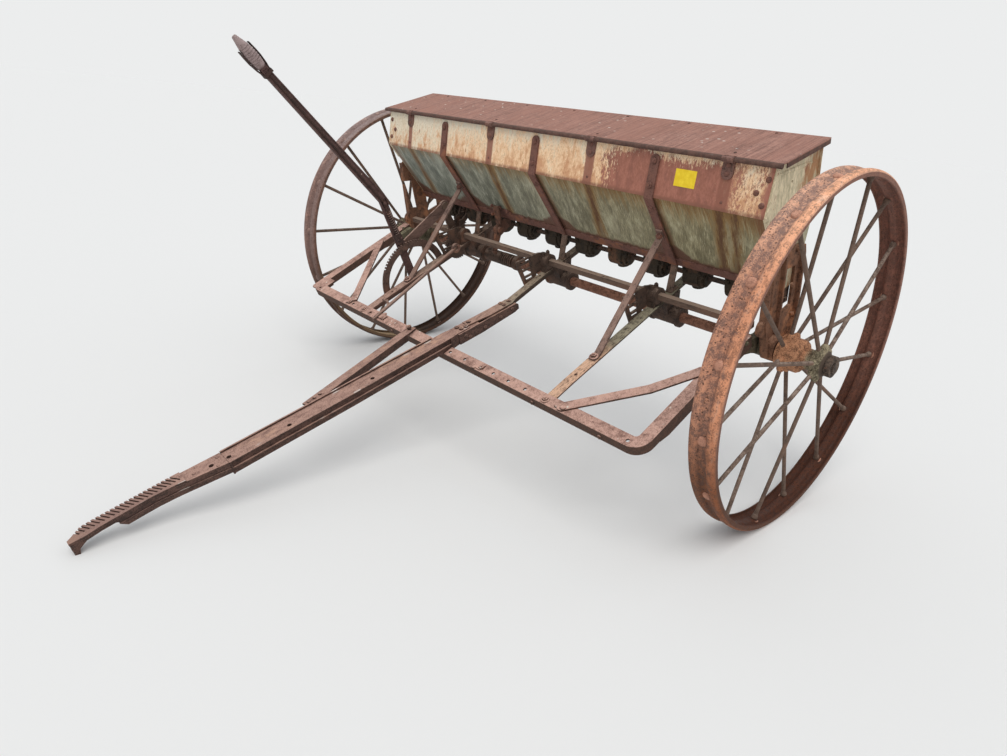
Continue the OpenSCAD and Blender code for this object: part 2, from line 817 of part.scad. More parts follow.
module tongue_beam() {
  color([0.50, 0.33, 0.28]) parked()
    difference() {
      union() {
        translate([0, 0, tongue_z])
          linear_extrude(tongue_h)
            polygon(concat(beam_near(0), [[head_x, -30], [640, -30], [612, -26], [beam_tail, -26]]));
        // lip along the right edge
        translate([700, -30, tongue_top - 1]) cube([head_x - 700, 6, 8]);
      }
      for (p = [[tongue_len - 1030, 14], [tongue_len - 693, 20], [tongue_len - 481, 14]])
        translate([p[0], p[1], -100]) cylinder(h = 200, r = 8);
      // seat on the front bar
      on_front() translate([-leg - 1, -60, -60]) cube([leg + 1.5, 120, 60.3]);
      // step for the end of the middle sill
      translate([beam_tail - 1, -60, tongue_z + channel_h]) cube([48, 120, 20]);
      // recessed web on the left side, a ledge under it, and the lower band set back a little
      intersection() {
        translate([650, 0, -100]) cube([head_x - 655, 100, 200]);
        union() {
          translate([0, 0, tongue_z + 22])
            linear_extrude(22) polygon(concat(beam_near(7), [[head_x, 90], [500, 90]]));
          translate([0, 0, tongue_z - 1])
            linear_extrude(18) polygon(concat(beam_near(3), [[head_x, 90], [500, 90]]));
        }
      }
    }
}

// plan of the head from head_x to the tip
head_plan = let(l = tongue_len) [[head_x + 1, -33], [l - 298, -39], [l - 90, -36], [l - 44, -32], [l - 14, -6],
  [l, 4], [l, 22], [l - 50, 23], [l - 85, 17], [l - 200, 12], [l - 245, 11], [l - 312, 17], [l - 410, 33],
  [head_x + 1, 43]];

// two layers with a gap between them; the upper one goes on, thinner, and bends down to the ground
module tongue_head() {
  l = tongue_len;
  color([0.40, 0.26, 0.22]) parked()
    difference() {
      intersection() {
        translate([0, 0, -200]) linear_extrude(400) polygon(head_plan);
        along_y(-100, 100) union() {
          polygon([[head_x + 1, -2], [l - 150, -2], [l - 125, 10], [l - 44, 10], [l - 20, -4],
            [l - 13, tip_under - 13 * tan(pitch)], [l, tip_under], [l, tongue_top - 14],
            [l - 14, tongue_top - 4], [comb_x - 1, tongue_top - 4], [comb_x - 1, tongue_top],
            [head_x + 1, tongue_top]]);
          polygon([[head_x + 1, tongue_z + 8], [l - 152, tongue_z + 8], [l - 133, -1], [head_x + 1, -1]]);
        }
      }
      // the gap, open on the left
      along_y(-16, 90) polygon([[head_x, -1], [l - 100, -1], [l - 146, 4], [head_x, 4]]);
      translate([tongue_len - 424, 10, -100]) cylinder(h = 200, r = 8);
    }
}

// plate with a row of slanting slots that are open on the right
module tongue_comb() {
  n = 22;
  color([0.45, 0.30, 0.27]) parked()
    difference() {
      translate([0, 0, tongue_top - 3.65]) linear_extrude(3.65 + comb_rise) intersection() {
        polygon(head_plan);
        translate([comb_x, -100]) square([400, 200]);
      }
      for (i = [0:n - 1])
        translate([tongue_len - 319 + i * 14, -17, tongue_top - 1.5])
          rotate([0, 0, 29])
            translate([-2.8, -40, 0]) cube([5.6, 61, 12]);
    }
}

// side plates joined by a web at the back, the beam bolted in at the front
module tongue_channel() {
  z = tongue_z;
  tail = [[610, z], [beam_tail - 2, z], [314, z + 10], [292, z + 17], [293, z + channel_h - 6],
    [302, z + channel_h], [610, z + channel_h]];
  color([0.46, 0.27, 0.24]) parked() {
    along_y(26.1, 32.1) polygon(tail);
    along_y(-32.1, -26.1) polygon(tail);
    along_y(-27, 27) strip([[344, z + channel_h], [302, z + channel_h]], 0, 6);
    along_y(-27, 27)
      polygon([[beam_tail - 2, z + 0.5], [316, z + 10.5], [316, z + 16.5], [beam_tail - 2, z + 6.5]]);
  }
}

module tongue_brace() {
  a = [1236, -52];
  b = [652, -224];
  ang = atan2(b[1] - a[1], b[0] - a[0]);
  len = norm(b - a);
  tilt = atan((14 - front_top(646) - angle_t - 0.3) / len);
  color([0.53, 0.35, 0.32]) parked()
    translate([a[0], a[1], 14]) rotate([0, 0, ang]) rotate([0, tilt, 0])
      difference() {
        union() {
          translate([0, -19, -6]) cube([len, 38, 6]);
          translate([0, -19, -30]) cube([len - 58, 6, 30]);
        }
        translate([len - 20, 0, -50]) cylinder(h = 100, r = 7);
      }
}

// wheels

// section of the rim: two rounded bands, a groove between them, edges turned in
function rim_outer() = let(w = tread_w / 2) [
  [588, -w + 3], [590, -w + 0.5], [602, -w], [606.5, -w + 3], [609, -w + 8], [610, -w + 15], [610, -w + 21],
  [608.5, -w + 27], [605, -w + 32], [601, -10], [599.5, -6], [599.5, 6], [601, 10], [605, w - 32],
  [608.5, w - 27], [610, w - 21], [610, w - 15], [609, w - 8], [606.5, w - 3], [602, w], [590, w - 0.5],
  [588, w - 3]];
function rim_inner() = let(w = tread_w / 2) [
  [588, w - 6], [600, w - 6.5], [603, w - 12], [604, w - 21], [602, w - 28], [594.5, 11], [593, 6], [593, -6],
  [594.5, -11], [602, -w + 28], [604, -w + 21], [603, -w + 12], [600, -w + 6.5], [588, -w + 6]];
k_rim = wheel_r / 610;

module rim(y) {
  translate([0, y, 0]) rotate([90, 0, 0])
    rotate_extrude($fn = 96) polygon([for (p = concat(rim_outer(), rim_inner())) [p[0] * k_rim, p[1]]]);
}

// s is +1 on the left wheel and -1 on the right one; turn sets where the first outer spoke stands
module spokes(s, turn) {
  for (i = [0:spoke_n / 2 - 1]) {
    a = turn + i * 720 / spoke_n;
    b = a + 360 / spoke_n;
    r = 592.4 * k_rim;
    rod([40 * cos(a), s * (wheel_y + 42), 40 * sin(a)], [r * cos(a), s * (wheel_y + 3), r * sin(a)], spoke_r);
    rod([48 * cos(b), s * (wheel_y - 68), 48 * sin(b)], [r * cos(b), s * (wheel_y - 3), r * sin(b)], spoke_r);
  }
}

module hub(s) {
  r = axle_r + pin_play;
  translate([0, s * wheel_y, 0]) rotate([90 * -s, 0, 0])
    rotate_extrude($fn = 72)
      polygon([[r, -94], [50, -94], [57, -90], [57, -22], [52, -14], [36, -8], [34, 18], [46, 26], [48, 32],
        [48, 54], [44, 60], [34, 67], [r, 67]]);
}

module left_rim() {
  color([0.52, 0.30, 0.26]) parked() rim(wheel_y);
}

module left_spokes() {
  color([0.38, 0.30, 0.27]) parked() spokes(1, 25.5);
}

module left_hub() {
  color([0.50, 0.45, 0.33]) parked() hub(1);
}

module right_rim() {
  color([0.50, 0.31, 0.27]) parked() rim(-wheel_y);
}

module right_spokes() {
  color([0.34, 0.26, 0.23]) parked() spokes(-1, 18);
}

module right_hub() {
  color([0.45, 0.40, 0.30]) parked() hub(-1);
}

axle();
axle_sleeves();
front_bar();
side_bar_left();
side_bar_right();
sill_left();
sill_middle();
sill_right();
diagonal_left();
diagonal_right();
strut_left();
strut_right();
posts();
straps();
hopper_shell();
hopper_band();
hopper_ends();
box_rail();
lid_hinges();
sticker();
end_castings();
axle_brackets();
rock_bearings();
feed_cups();
feed_shaft();
drive_gears();
rate_lever();
quadrant();
pull_rod();
tongue_beam();
tongue_head();
tongue_comb();
tongue_channel();
tongue_brace();
lid();
hand_lever();
lever_latch();
lift_link();
rock_shaft();
left_rim();
left_spokes();
left_hub();
right_rim();
right_spokes();
right_hub();
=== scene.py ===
# An old ten-run seed drill on spoked steel wheels, parked with the tip of its tongue on the ground.
# Metres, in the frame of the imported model: +X forward along the tongue, +Y the machine's left, +Z up.
import math

import bmesh
import bpy
import numpy as np
from mathutils import Matrix


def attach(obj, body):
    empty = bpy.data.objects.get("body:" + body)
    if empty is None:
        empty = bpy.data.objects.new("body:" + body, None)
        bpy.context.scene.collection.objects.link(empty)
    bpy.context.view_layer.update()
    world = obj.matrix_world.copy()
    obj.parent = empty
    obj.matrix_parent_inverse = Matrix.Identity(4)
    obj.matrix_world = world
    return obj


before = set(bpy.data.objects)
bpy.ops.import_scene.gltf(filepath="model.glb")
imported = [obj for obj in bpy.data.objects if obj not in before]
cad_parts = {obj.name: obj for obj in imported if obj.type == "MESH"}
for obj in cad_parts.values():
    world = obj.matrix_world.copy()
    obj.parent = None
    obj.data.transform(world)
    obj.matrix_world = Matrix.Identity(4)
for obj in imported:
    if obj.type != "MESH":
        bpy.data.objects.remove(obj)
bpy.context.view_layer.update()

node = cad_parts


# View. The camera stands in front of the machine's left wheel and looks down over the frame. Its place and
# lens were fitted to the outlines of both wheels and to the long edges of the frame and the box.
cam_data = bpy.data.cameras.new("camera")
cam_data.sensor_width = 36
cam_data.lens = 24.708
cam_data.shift_x = -0.00231
cam_data.shift_y = 0.00392
cam_data.clip_start = 0.05
cam_data.clip_end = 200
camera = bpy.data.objects.new("camera", cam_data)
bpy.context.scene.collection.objects.link(camera)
right, down, ahead = (-0.7288, 0.6778, 0.0973), (0.193, 0.3397, -0.9205), (-0.657, -0.6521, -0.3784)
eye = (1.5679, 1.947, 1.3053)
camera.matrix_world = Matrix([(right[i], -down[i], -ahead[i], eye[i]) for i in range(3)] + [(0, 0, 0, 1)])
bpy.context.scene.camera = camera

# A pale floor that ends in a backdrop of the same colour, an even sky, and one broad soft lamp high up, ahead
# of the machine and to its left.
turn = np.linspace(0, 2 * np.pi, 96, endpoint=False)
floor_mesh = bpy.data.meshes.new("floor")
floor_mesh.from_pydata(np.stack([60 * np.cos(turn), 60 * np.sin(turn), 0 * turn], 1).tolist(), [],
                       [list(range(96))])
floor = bpy.data.objects.new("floor", floor_mesh)
bpy.context.scene.collection.objects.link(floor)
floor_mat = bpy.data.materials.new("pale_floor")
floor_mat.use_nodes = True
paint = floor_mat.node_tree.nodes["Principled BSDF"]
paint.inputs["Base Color"].default_value = (0.8, 0.8, 0.79, 1)
paint.inputs["Roughness"].default_value = 0.95
paint.inputs["Specular IOR Level"].default_value = 0.1
floor_mesh.materials.append(floor_mat)

world = bpy.data.worlds.new("sky")
bpy.context.scene.world = world
world.use_nodes = True
sky = world.node_tree
light = sky.nodes["Background"]
light.inputs["Color"].default_value = (0.93, 0.96, 1.0, 1)
light.inputs["Strength"].default_value = 0.66
seen = sky.nodes.new("ShaderNodeBackground")
seen.inputs["Color"].default_value = (0.839, 0.847, 0.848, 1)
seen.inputs["Strength"].default_value = 1.0
path = sky.nodes.new("ShaderNodeLightPath")
either = sky.nodes.new("ShaderNodeMath")
either.operation = "MAXIMUM"
sky.links.new(path.outputs["Is Camera Ray"], either.inputs[0])
sky.links.new(path.outputs["Is Glossy Ray"], either.inputs[1])
choice = sky.nodes.new("ShaderNodeMixShader")
sky.links.new(either.outputs[0], choice.inputs[0])
sky.links.new(light.outputs[0], choice.inputs[1])
sky.links.new(seen.outputs[0], choice.inputs[2])
sky.links.new(choice.outputs[0], sky.nodes["World Output"].inputs["Surface"])

lamp_data = bpy.data.lights.new("soft_lamp", "SUN")
lamp_data.energy = 1.6
lamp_data.angle = math.radians(50)
lamp_data.color = (1.0, 0.98, 0.95)
lamp = bpy.data.objects.new("soft_lamp", lamp_data)
lamp.rotation_euler = (math.radians(-22), math.radians(24), 0)
bpy.context.scene.collection.objects.link(lamp)
bpy.context.scene.view_settings.view_transform = "Standard"

# Axle, sleeves and brackets. A solid bar runs through both wheels, and cast sleeves, brackets and end
# castings hang the frame and the box on it. All of it is bare iron that has rusted dark, dusty on top, orange
# in patches.
pitch = math.radians(17)
axle_at = (-0.6695, 0.0, 0.61)


class Finish:
    """One material and the few steps it is mixed from. Patterns lie in the machine's own level axes, in
    metres, with the middle of the axle at zero."""

    def __init__(self, name, roughness=0.88):
        self.mat = bpy.data.materials.new(name)
        self.mat.use_nodes = True
        self.tree = self.mat.node_tree
        self.out = self.tree.nodes["Principled BSDF"]
        self.out.inputs["Roughness"].default_value = roughness
        self.out.inputs["Specular IOR Level"].default_value = 0.35
        self.coord = self.tree.nodes.new("ShaderNodeTexCoord")

    def add(self, kind, *values, **settings):
        """A node of this kind, with its settings made and values or links put into its first inputs."""
        n = self.tree.nodes.new(kind)
        for k, v in settings.items():
            setattr(n, k, v)
        for socket, v in zip(n.inputs, values):
            self.put(socket, v)
        return n

    def put(self, socket, value):
        if isinstance(value, (int, float)):
            socket.default_value = value
        elif isinstance(value, tuple):
            socket.default_value = value + (1.0,) * (len(socket.default_value) - len(value))
        else:
            self.tree.links.new(value, socket)

    def axes(self, stretch=(1, 1, 1), centre=axle_at, tilt=pitch, lean=0.0):
        """Place in the machine: moved to centre, turned level by tilt about Y and then by lean about X, and
        each axis divided by its stretch."""
        m = self.add("ShaderNodeMapping", self.coord.outputs["Object"], centre, vector_type="TEXTURE")
        m.inputs["Rotation"].default_value = (lean, tilt, 0)
        m.inputs["Scale"].default_value = stretch
        return m.outputs[0]

    def noise(self, where, scale, detail=4.0, rough=0.6, warp=0.0):
        n = self.add("ShaderNodeTexNoise", where)
        n.inputs["Scale"].default_value = scale
        n.inputs["Detail"].default_value = detail
        n.inputs["Roughness"].default_value = rough
        n.inputs["Distortion"].default_value = warp
        return n.outputs["Fac"]

    def plus(self, base, extra, share):
        """base with this share of extra added."""
        return self.math("MULTIPLY_ADD", extra, share, base)

    def mixed(self, a, b, share):
        """This share of a and the rest of b."""
        return self.plus(self.math("MULTIPLY", b, 1 - share), a, share)

    def grained(self, where, coarse, fine, share):
        """Coarse clouds, fine grain, and the two mixed, with this share of the grain."""
        mottle, grain = self.noise(where, *coarse), self.noise(where, *fine)
        return mottle, grain, self.mixed(grain, mottle, share)

    def flecks(self, where, scale, share, size):
        """1 inside ragged dots: share of the cells have one, size is its radius against the cell."""
        n = self.add("ShaderNodeTexVoronoi", where)
        n.inputs["Scale"].default_value = scale
        ragged = self.plus(-0.25, self.noise(where, scale * 4, 3, 0.7), 0.5)
        near = self.span(self.math("ADD", n.outputs["Distance"], ragged), size, size * 0.55)
        return self.times(near, self.math("GREATER_THAN", self.part(n.outputs["Color"], 0), 1 - share))

    def span(self, value, low, high, a=0.0, b=1.0):
        """value carried smoothly from low..high to a..b, and held there outside."""
        n = self.add("ShaderNodeMapRange", value, low, high, a, b, interpolation_type="SMOOTHSTEP")
        return n.outputs[0]

    def math(self, op, a, b=0.0, c=0.0):
        return self.add("ShaderNodeMath", a, b, c, operation=op).outputs[0]

    def times(self, *values):
        """The product of all values."""
        product = values[0]
        for v in values[1:]:
            product = self.math("MULTIPLY", product, v)
        return product

    def blend(self, share, a, b, mode="MIX"):
        n = self.add("ShaderNodeMix", data_type="RGBA", blend_type=mode)
        for i, v in ((0, share), (6, a), (7, b)):
            self.put(n.inputs[i], v)
        return n.outputs[2]

    def over(self, under, colour, *shares):
        """This colour laid over the one under it, by the product of the shares."""
        return self.blend(self.times(*shares), under, colour)

    def part(self, vector, which):
        return self.add("ShaderNodeSeparateXYZ", vector).outputs[which]

    def facing_up(self):
        """0 on what faces down, 1 on what faces the sky as the machine stands."""
        return self.span(self.part(self.coord.outputs["Normal"], 2), 0.15, 0.85)

    def strip(self, value, middle, half, soft):
        """1 where value is within half of middle, fading to 0 over soft."""
        return self.span(self.math("ABSOLUTE", self.math("SUBTRACT", value, middle)), half + soft, half)

    def bump(self, height, depth, strength):
        n = self.add("ShaderNodeBump")
        n.inputs["Distance"].default_value = depth
        n.inputs["Strength"].default_value = strength
        self.put(n.inputs["Height"], height)
        return n.outputs[0]

    def done(self, colour, roughness=None, normal=None):
        self.put(self.out.inputs["Base Color"], colour)
        if roughness is not None:
            self.put(self.out.inputs["Roughness"], roughness)
        if normal is not None:
            self.put(self.out.inputs["Normal"], normal)
        return self.mat


def rusty(name, pit, brown, dust, lean=0.5, lime=0.0, warm=0.3, orange=(0.33, 0.135, 0.07), run=(1, 1, 1)):
    """Bare iron in the weather: brown clouds over dark pits, dust on what faces the sky (more of it as lean
    grows), orange patches (warm is their share), grain of a few millimetres, and pale lime flecks."""
    s = Finish(name)
    where = s.axes(run)
    cloud = s.noise(where, 7, 4, 0.55, 0.4)
    mottle, grain, both = s.grained(where, (40, 5, 0.62), (230, 4, 0.66), 0.45)
    c = s.blend(s.span(both, 0.34, 0.56), pit, brown)
    c = s.over(c, orange, s.span(cloud, 0.5, 0.66), s.span(mottle, 0.35, 0.6), warm)
    up = s.facing_up()
    c = s.over(c, dust, up, s.span(s.plus(both, cloud, 0.35), 0.82 - 0.4 * lean, 0.96 - 0.4 * lean))
    c = s.over(c, tuple(min(1.2 * v + 0.02, 1.0) for v in dust), up, s.span(both, 0.5, 0.64), 0.35)
    c = s.blend(s.span(grain, 0.42, 0.3, 0, 0.4), c, pit)
    if lime > 0:
        c = s.over(c, (0.66, 0.58, 0.5), s.flecks(where, 55, lime, 0.26), s.span(up, 0.5, 0.9))
    n = s.bump(both, 0.0018, 0.7)
    return s.done(c, s.span(mottle, 0.3, 0.7, 0.75, 0.95), n)


def dress(names, mat):
    """Gives CAD nodes a finish."""
    for n in names:
        me = node[n].data
        me.materials.clear()
        me.materials.append(mat)
        me.polygons.foreach_set("material_index", np.zeros(len(me.polygons), np.int32))


def axle_finish():
    """Orange brown between the castings, where the bar was turned and greased, and nearly black at both
    ends."""
    s = Finish("axle_rust")
    where = s.axes()
    both = s.grained(where, (45, 5, 0.65), (230, 4, 0.68), 0.5)[2]
    bar = s.blend(s.span(both, 0.4, 0.58), (0.11, 0.05, 0.031), (0.25, 0.112, 0.07))
    bar = s.over(bar, (0.34, 0.165, 0.105), s.facing_up(), s.span(both, 0.44, 0.56))
    ends = s.blend(s.span(both, 0.42, 0.6), (0.03, 0.021, 0.016), (0.135, 0.095, 0.07))
    c = s.blend(s.span(s.math("ABSOLUTE", s.part(where, 1)), 1.165, 1.172), bar, ends)
    return s.done(c, 0.85, s.bump(both, 0.002, 0.8))


dress(["axle"], axle_finish())
dark_cast = rusty("dark_cast", (0.02, 0.013, 0.009), (0.085, 0.052, 0.038), (0.21, 0.15, 0.115), warm=0.25)
mossy_cast = rusty("mossy_cast", (0.028, 0.024, 0.014), (0.115, 0.095, 0.058), (0.26, 0.235, 0.15), warm=0.15)
orange_cast = rusty("orange_cast", (0.05, 0.022, 0.013), (0.22, 0.105, 0.06), (0.36, 0.2, 0.13), warm=0.9,
                    orange=(0.4, 0.17, 0.08))
dress(["axle_sleeves"], dark_cast)
dress(["axle_brackets"], mossy_cast)
dress(["end_castings"], orange_cast)


def level(points):
    """Millimetres in the level machine, from the middle of the axle, to metres in the frame: turned by the
    pitch about Y, then moved to the axle."""
    p = np.asarray(points, float) / 1000
    c, s = math.cos(pitch), math.sin(pitch)
    return np.stack([axle_at[0] + p[..., 0] * c + p[..., 2] * s, axle_at[1] + p[..., 1],
                     axle_at[2] - p[..., 0] * s + p[..., 2] * c], -1)


def quads(rows, cols):
    """Four-cornered faces over rows of points that close on themselves: point (i, j) has the number i * cols
    + j."""
    i, j = np.meshgrid(np.arange(rows - 1), np.arange(cols), indexing="ij")
    k = (j + 1) % cols
    return np.stack([i * cols + j, i * cols + k, (i + 1) * cols + k, (i + 1) * cols + j], -1).reshape(-1, 4)


def piece(name, points, faces, mat, body="frame", smooth=30):
    """A mesh in the level machine's millimetres that rides on a body: doubles merged, faces turned outwards,
    edges sharper than smooth degrees left crisp."""
    me = bpy.data.meshes.new(name)
    me.from_pydata(level(points).reshape(-1, 3).tolist(), [], np.asarray(faces).tolist())
    bm = bmesh.new()
    bm.from_mesh(me)
    bmesh.ops.remove_doubles(bm, verts=bm.verts, dist=1e-5)
    bmesh.ops.dissolve_degenerate(bm, edges=bm.edges, dist=1e-6)
    bmesh.ops.recalc_face_normals(bm, faces=bm.faces)
    for f in bm.faces:
        f.smooth = True
    for e in bm.edges:
        e.smooth = e.is_manifold and e.calc_face_angle(0) < math.radians(smooth)
    bm.to_mesh(me)
    bm.free()
    ob = bpy.data.objects.new(name, me)
    bpy.context.scene.collection.objects.link(ob)
    me.materials.append(mat)
    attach(ob, body)
    return ob


def turned(at, along, profile, sides=12, spin=0.0):
    """Turned shapes, one at each place: point = at + h * along + r * (cos a * u + sin a * v), where (r, h)
    runs down the profile, a goes round in equal steps, and u and v are square to along."""
    at, along = np.atleast_2d(np.asarray(at, float)), np.atleast_2d(np.asarray(along, float))
    along = np.broadcast_to(along / np.linalg.norm(along, axis=1, keepdims=True), at.shape)
    helper = np.where(np.abs(along[:, 1:2]) < 0.8, np.array([[0.0, 1, 0]]), np.array([[1.0, 0, 0]]))
    u = np.cross(along, helper)
    u /= np.linalg.norm(u, axis=1, keepdims=True)
    v = np.cross(along, u)
    a = np.linspace(0, 2 * np.pi, sides, endpoint=False) + spin
    r, h = np.asarray(profile, float).T
    ring = np.cos(a)[:, None] * u[:, None, :] + np.sin(a)[:, None] * v[:, None, :]
    pts = (at[:, None, None, :] + h[None, :, None, None] * along[:, None, None, :]
           + r[None, :, None, None] * ring[:, None, :, :])
    one = quads(len(r), sides)
    faces = (one[None] + (np.arange(len(at)) * len(r) * sides)[:, None, None]).reshape(-1, 4)
    return pts.reshape(-1, 3), faces


def joined(*parts):
    """Several lots of points and faces as one."""
    points, faces, n = [], [], 0
    for p, f in parts:
        points.append(np.asarray(p, float).reshape(-1, 3))
        faces.append(np.asarray(f) + n)
        n += len(points[-1])
    return np.concatenate(points), np.concatenate(faces)


def domes(r, h, sink=0.6):
    """Profile of a round rivet head of radius r and height h, closed underneath."""
    t = np.linspace(0, np.pi / 2, 6)
    return [(0, -sink), (r, -sink)] + [(r * math.cos(a), h * math.sin(a)) for a in t]


def nuts(r, h, sink=0.6):
    """Profile of a nut or a bolt's head: straight flanks and a bevelled top with the bolt's end in it."""
    return [(0, -sink), (r, -sink), (r, h * 0.8), (r * 0.84, h), (r * 0.5, h), (r * 0.46, h * 1.35),
            (0, h * 1.4)]


# Bolts through the flanges of the sleeves and the brackets, bolts through the end castings into the box, and
# the split pins at the ends of the axle.
sill_ys = np.array([-555.0, 0.0, 555.0])
ring_at = np.array([[28 * math.cos(a), y + 60 * e, 28 * math.sin(a)] for y in sill_ys for e in (-1, 1)
                    for a in (0.6, 2.5, 4.4)])
ring_to = np.array([[0, e, 0] for y in sill_ys for e in (-1, 1) for a in (0.6, 2.5, 4.4)], float)
collar = turned([[0, -1188, 0], [0, 1188, 0]], [1, 0, 0.4], [(0, -46), (4, -46), (4, 46), (0, 46)], 8)
piece("sleeve_bolts", *turned(ring_at, ring_to, nuts(6, 5), 6), dark_cast)
piece("axle_pins", *collar, dark_cast)
lower = [[x, y * s, z] for s in (-1, 1) for x, y, z in ((140, 962, 74), (176, 962, 62))]
piece("bracket_bolts", *turned(lower, [0, 0, 1], nuts(9, 8), 6), mossy_cast)
casting_xz = ((60, 366), (-104, 318), (-112, 80), (-36, 318), (-88, 200))
box_side = [[x, s * 981, z] for s in (-1, 1) for x, z in casting_xz]
box_way = [[0, s, 0] for s in (-1, 1) for _ in casting_xz]
piece("casting_bolts", *turned(box_side, box_way, nuts(9, 7), 6), orange_cast)

# Wheels. Each rim is rolled with two rounded bands and a groove between them, where the riveted ends of
# sixteen round spokes show. The outer band is rubbed salmon orange, the groove is dark and pitted with painted
# shade over it, the inside dull.
wheel_y = 1109


def rim_finish(name, inside, outside, groove, straw=0.0):
    """Rust by where it lies on the rim: out is how far the face looks away from the axle, across the place
    between its two edges. The outboard band is rubbed bright, the rest pitted, and all of it darker towards the
    ground as painted shade; the groove gets painted shade too, and the outward faces at the top a bluish
    painted sky reflection."""
    s = Finish(name)
    where = s.axes()
    flat = s.add("ShaderNodeVectorMath", s.axes(tilt=0), (1, 0, 1), operation="MULTIPLY").outputs[0]
    away = s.add("ShaderNodeVectorMath", flat, operation="NORMALIZE").outputs[0]
    dot = s.add("ShaderNodeVectorMath", away, s.coord.outputs["Normal"], operation="DOT_PRODUCT")
    out = dot.outputs["Value"]
    across = s.math("SUBTRACT", s.math("ABSOLUTE", s.part(where, 1)), wheel_y / 1000)
    cloud = s.noise(where, 24, 5, 0.62, 0.6)
    mottle, grain, both = s.grained(where, (55, 6, 0.66), (280, 4, 0.7), 0.45)
    blotch = s.plus(both, cloud, 0.35)
    worn = tuple(0.82 * a + 0.03 * k for a, k in zip(outside, (0.4, 0.8, 0.9)))
    sideways = s.add("ShaderNodeCombineXYZ", 0.0, s.times(across, 7.0), 0.0).outputs[0]
    unrolled = s.add("ShaderNodeVectorMath", away, sideways, operation="ADD").outputs[0]
    rolled = s.noise(unrolled, 11, 6, 0.66, 0.3)
    bright = s.blend(s.span(blotch, 0.58, 0.7), tuple(0.52 * v for v in outside), outside)
    bright = s.over(bright, tuple(0.46 * v for v in outside), s.span(rolled, 0.52, 0.62), 0.65)
    bright = s.over(bright, (0.66, 0.38, 0.26), s.span(rolled, 0.44, 0.36), 0.4)
    dull = s.blend(s.span(blotch, 0.58, 0.74), groove, worn)
    edge_to = s.plus(across, s.math("SUBTRACT", mottle, 0.5), 0.1)
    outer = s.blend(s.span(edge_to, -0.006, 0.036), dull, bright)
    outer = s.blend(s.span(both, 0.46, 0.37, 0, 0.6), outer, groove)
    # Painted shade in the groove between the bands, laid over its dark pitted rust.
    groove_shade = s.times(s.strip(across, 0.0, 0.012, 0.01), s.span(both, 0.6, 0.44, 0.25, 0.8))
    outer = s.blend(groove_shade, outer, groove)
    inner = s.blend(s.span(both, 0.4, 0.6), tuple(0.5 * v for v in inside), inside)
    c = s.blend(s.span(out, -0.2, 0.5), inner, outer)
    pits = s.flecks(where, 130, 0.55, 0.44)
    pitted = s.times(pits, s.span(mottle, 0.44, 0.54), s.span(edge_to, 0.045, 0.01, 0.45, 0.9))
    c = s.blend(pitted, c, (0.07, 0.034, 0.024))
    rim_edge = s.span(s.math("ABSOLUTE", across), 0.0425, 0.0455)
    c = s.over(c, (0.24, 0.125, 0.09), rim_edge, s.span(both, 0.4, 0.54), 0.6)
    c = s.blend(s.span(grain, 0.42, 0.3, 0, 0.5), c, (0.09, 0.042, 0.028))
    rise = s.part(s.coord.outputs["Object"], 2)
    # Painted shade: each rim is multiplied darker towards the ground.
    c = s.blend(s.span(rise, 0.62, 0.26), c, (0.38, 0.29, 0.2), "MULTIPLY")
    # Painted sky reflection: outward faces at the top of each rim are multiplied a bluish lighter.
    c = s.blend(s.times(s.span(rise, 0.85, 1.15), s.span(out, 0.1, 0.6)), c, (1.36, 1.6, 1.75), "MULTIPLY")
    if straw:
        low = s.times(s.span(s.part(where, 0), 0.06, 0.22), s.span(s.part(where, 2), 0.1, -0.12),
                      s.span(out, 0.1, -0.3))
        c = s.over(c, (0.42, 0.285, 0.155), low, s.span(both, 0.34, 0.52, 0.3, 1.0), straw)
    n = s.bump(s.plus(both, pits, -0.35), 0.0024, 0.8)
    return s.done(c, s.span(mottle, 0.3, 0.7, 0.62, 0.9), n)


near_rim = rim_finish("near_rim", (0.24, 0.1, 0.068), (0.68, 0.295, 0.162), (0.2, 0.105, 0.078))
far_rim = rim_finish("far_rim", (0.13, 0.075, 0.055), (0.27, 0.158, 0.13), (0.16, 0.092, 0.076), 0.8)
near_rivet = rusty("near_rivet", (0.25, 0.12, 0.08), (0.46, 0.225, 0.15), (0.58, 0.31, 0.22), 0.5, 0.0, 0.2)
far_rivet = rusty("far_rivet", (0.1, 0.06, 0.05), (0.22, 0.135, 0.112), (0.34, 0.22, 0.185), 0.5, 0.0, 0.1)
dress(["left_rim"], near_rim)
dress(["right_rim"], far_rim)
spoke_iron = rusty("spoke_iron", (0.07, 0.045, 0.033), (0.16, 0.105, 0.078), (0.27, 0.205, 0.165), warm=0.3,
                   orange=(0.25, 0.115, 0.06))
dress(["left_spokes", "right_spokes"], spoke_iron)


def hub_finish():
    """Cast hub by its length: an orange drum inside the spokes, a grey-green flange outside, a dark end."""
    s = Finish("hub_cast")
    where = s.axes()
    mottle, _, both = s.grained(where, (40, 6, 0.7), (240, 4, 0.72), 0.5)
    across = s.math("SUBTRACT", s.math("ABSOLUTE", s.part(where, 1)), wheel_y / 1000)
    drum = s.blend(s.span(both, 0.4, 0.56), (0.15, 0.068, 0.038), (0.55, 0.265, 0.14))
    flange = s.blend(s.span(both, 0.42, 0.58), (0.075, 0.06, 0.036), (0.33, 0.275, 0.178))
    c = s.blend(s.span(s.plus(across, mottle, 0.03), 0.01, 0.03), drum, flange)
    c = s.blend(s.span(across, 0.056, 0.062), c, (0.075, 0.052, 0.038))
    return s.done(c, 0.88, s.bump(both, 0.003, 0.9))


hub_cast = hub_finish()
dress(["left_hub", "right_hub"], hub_cast)

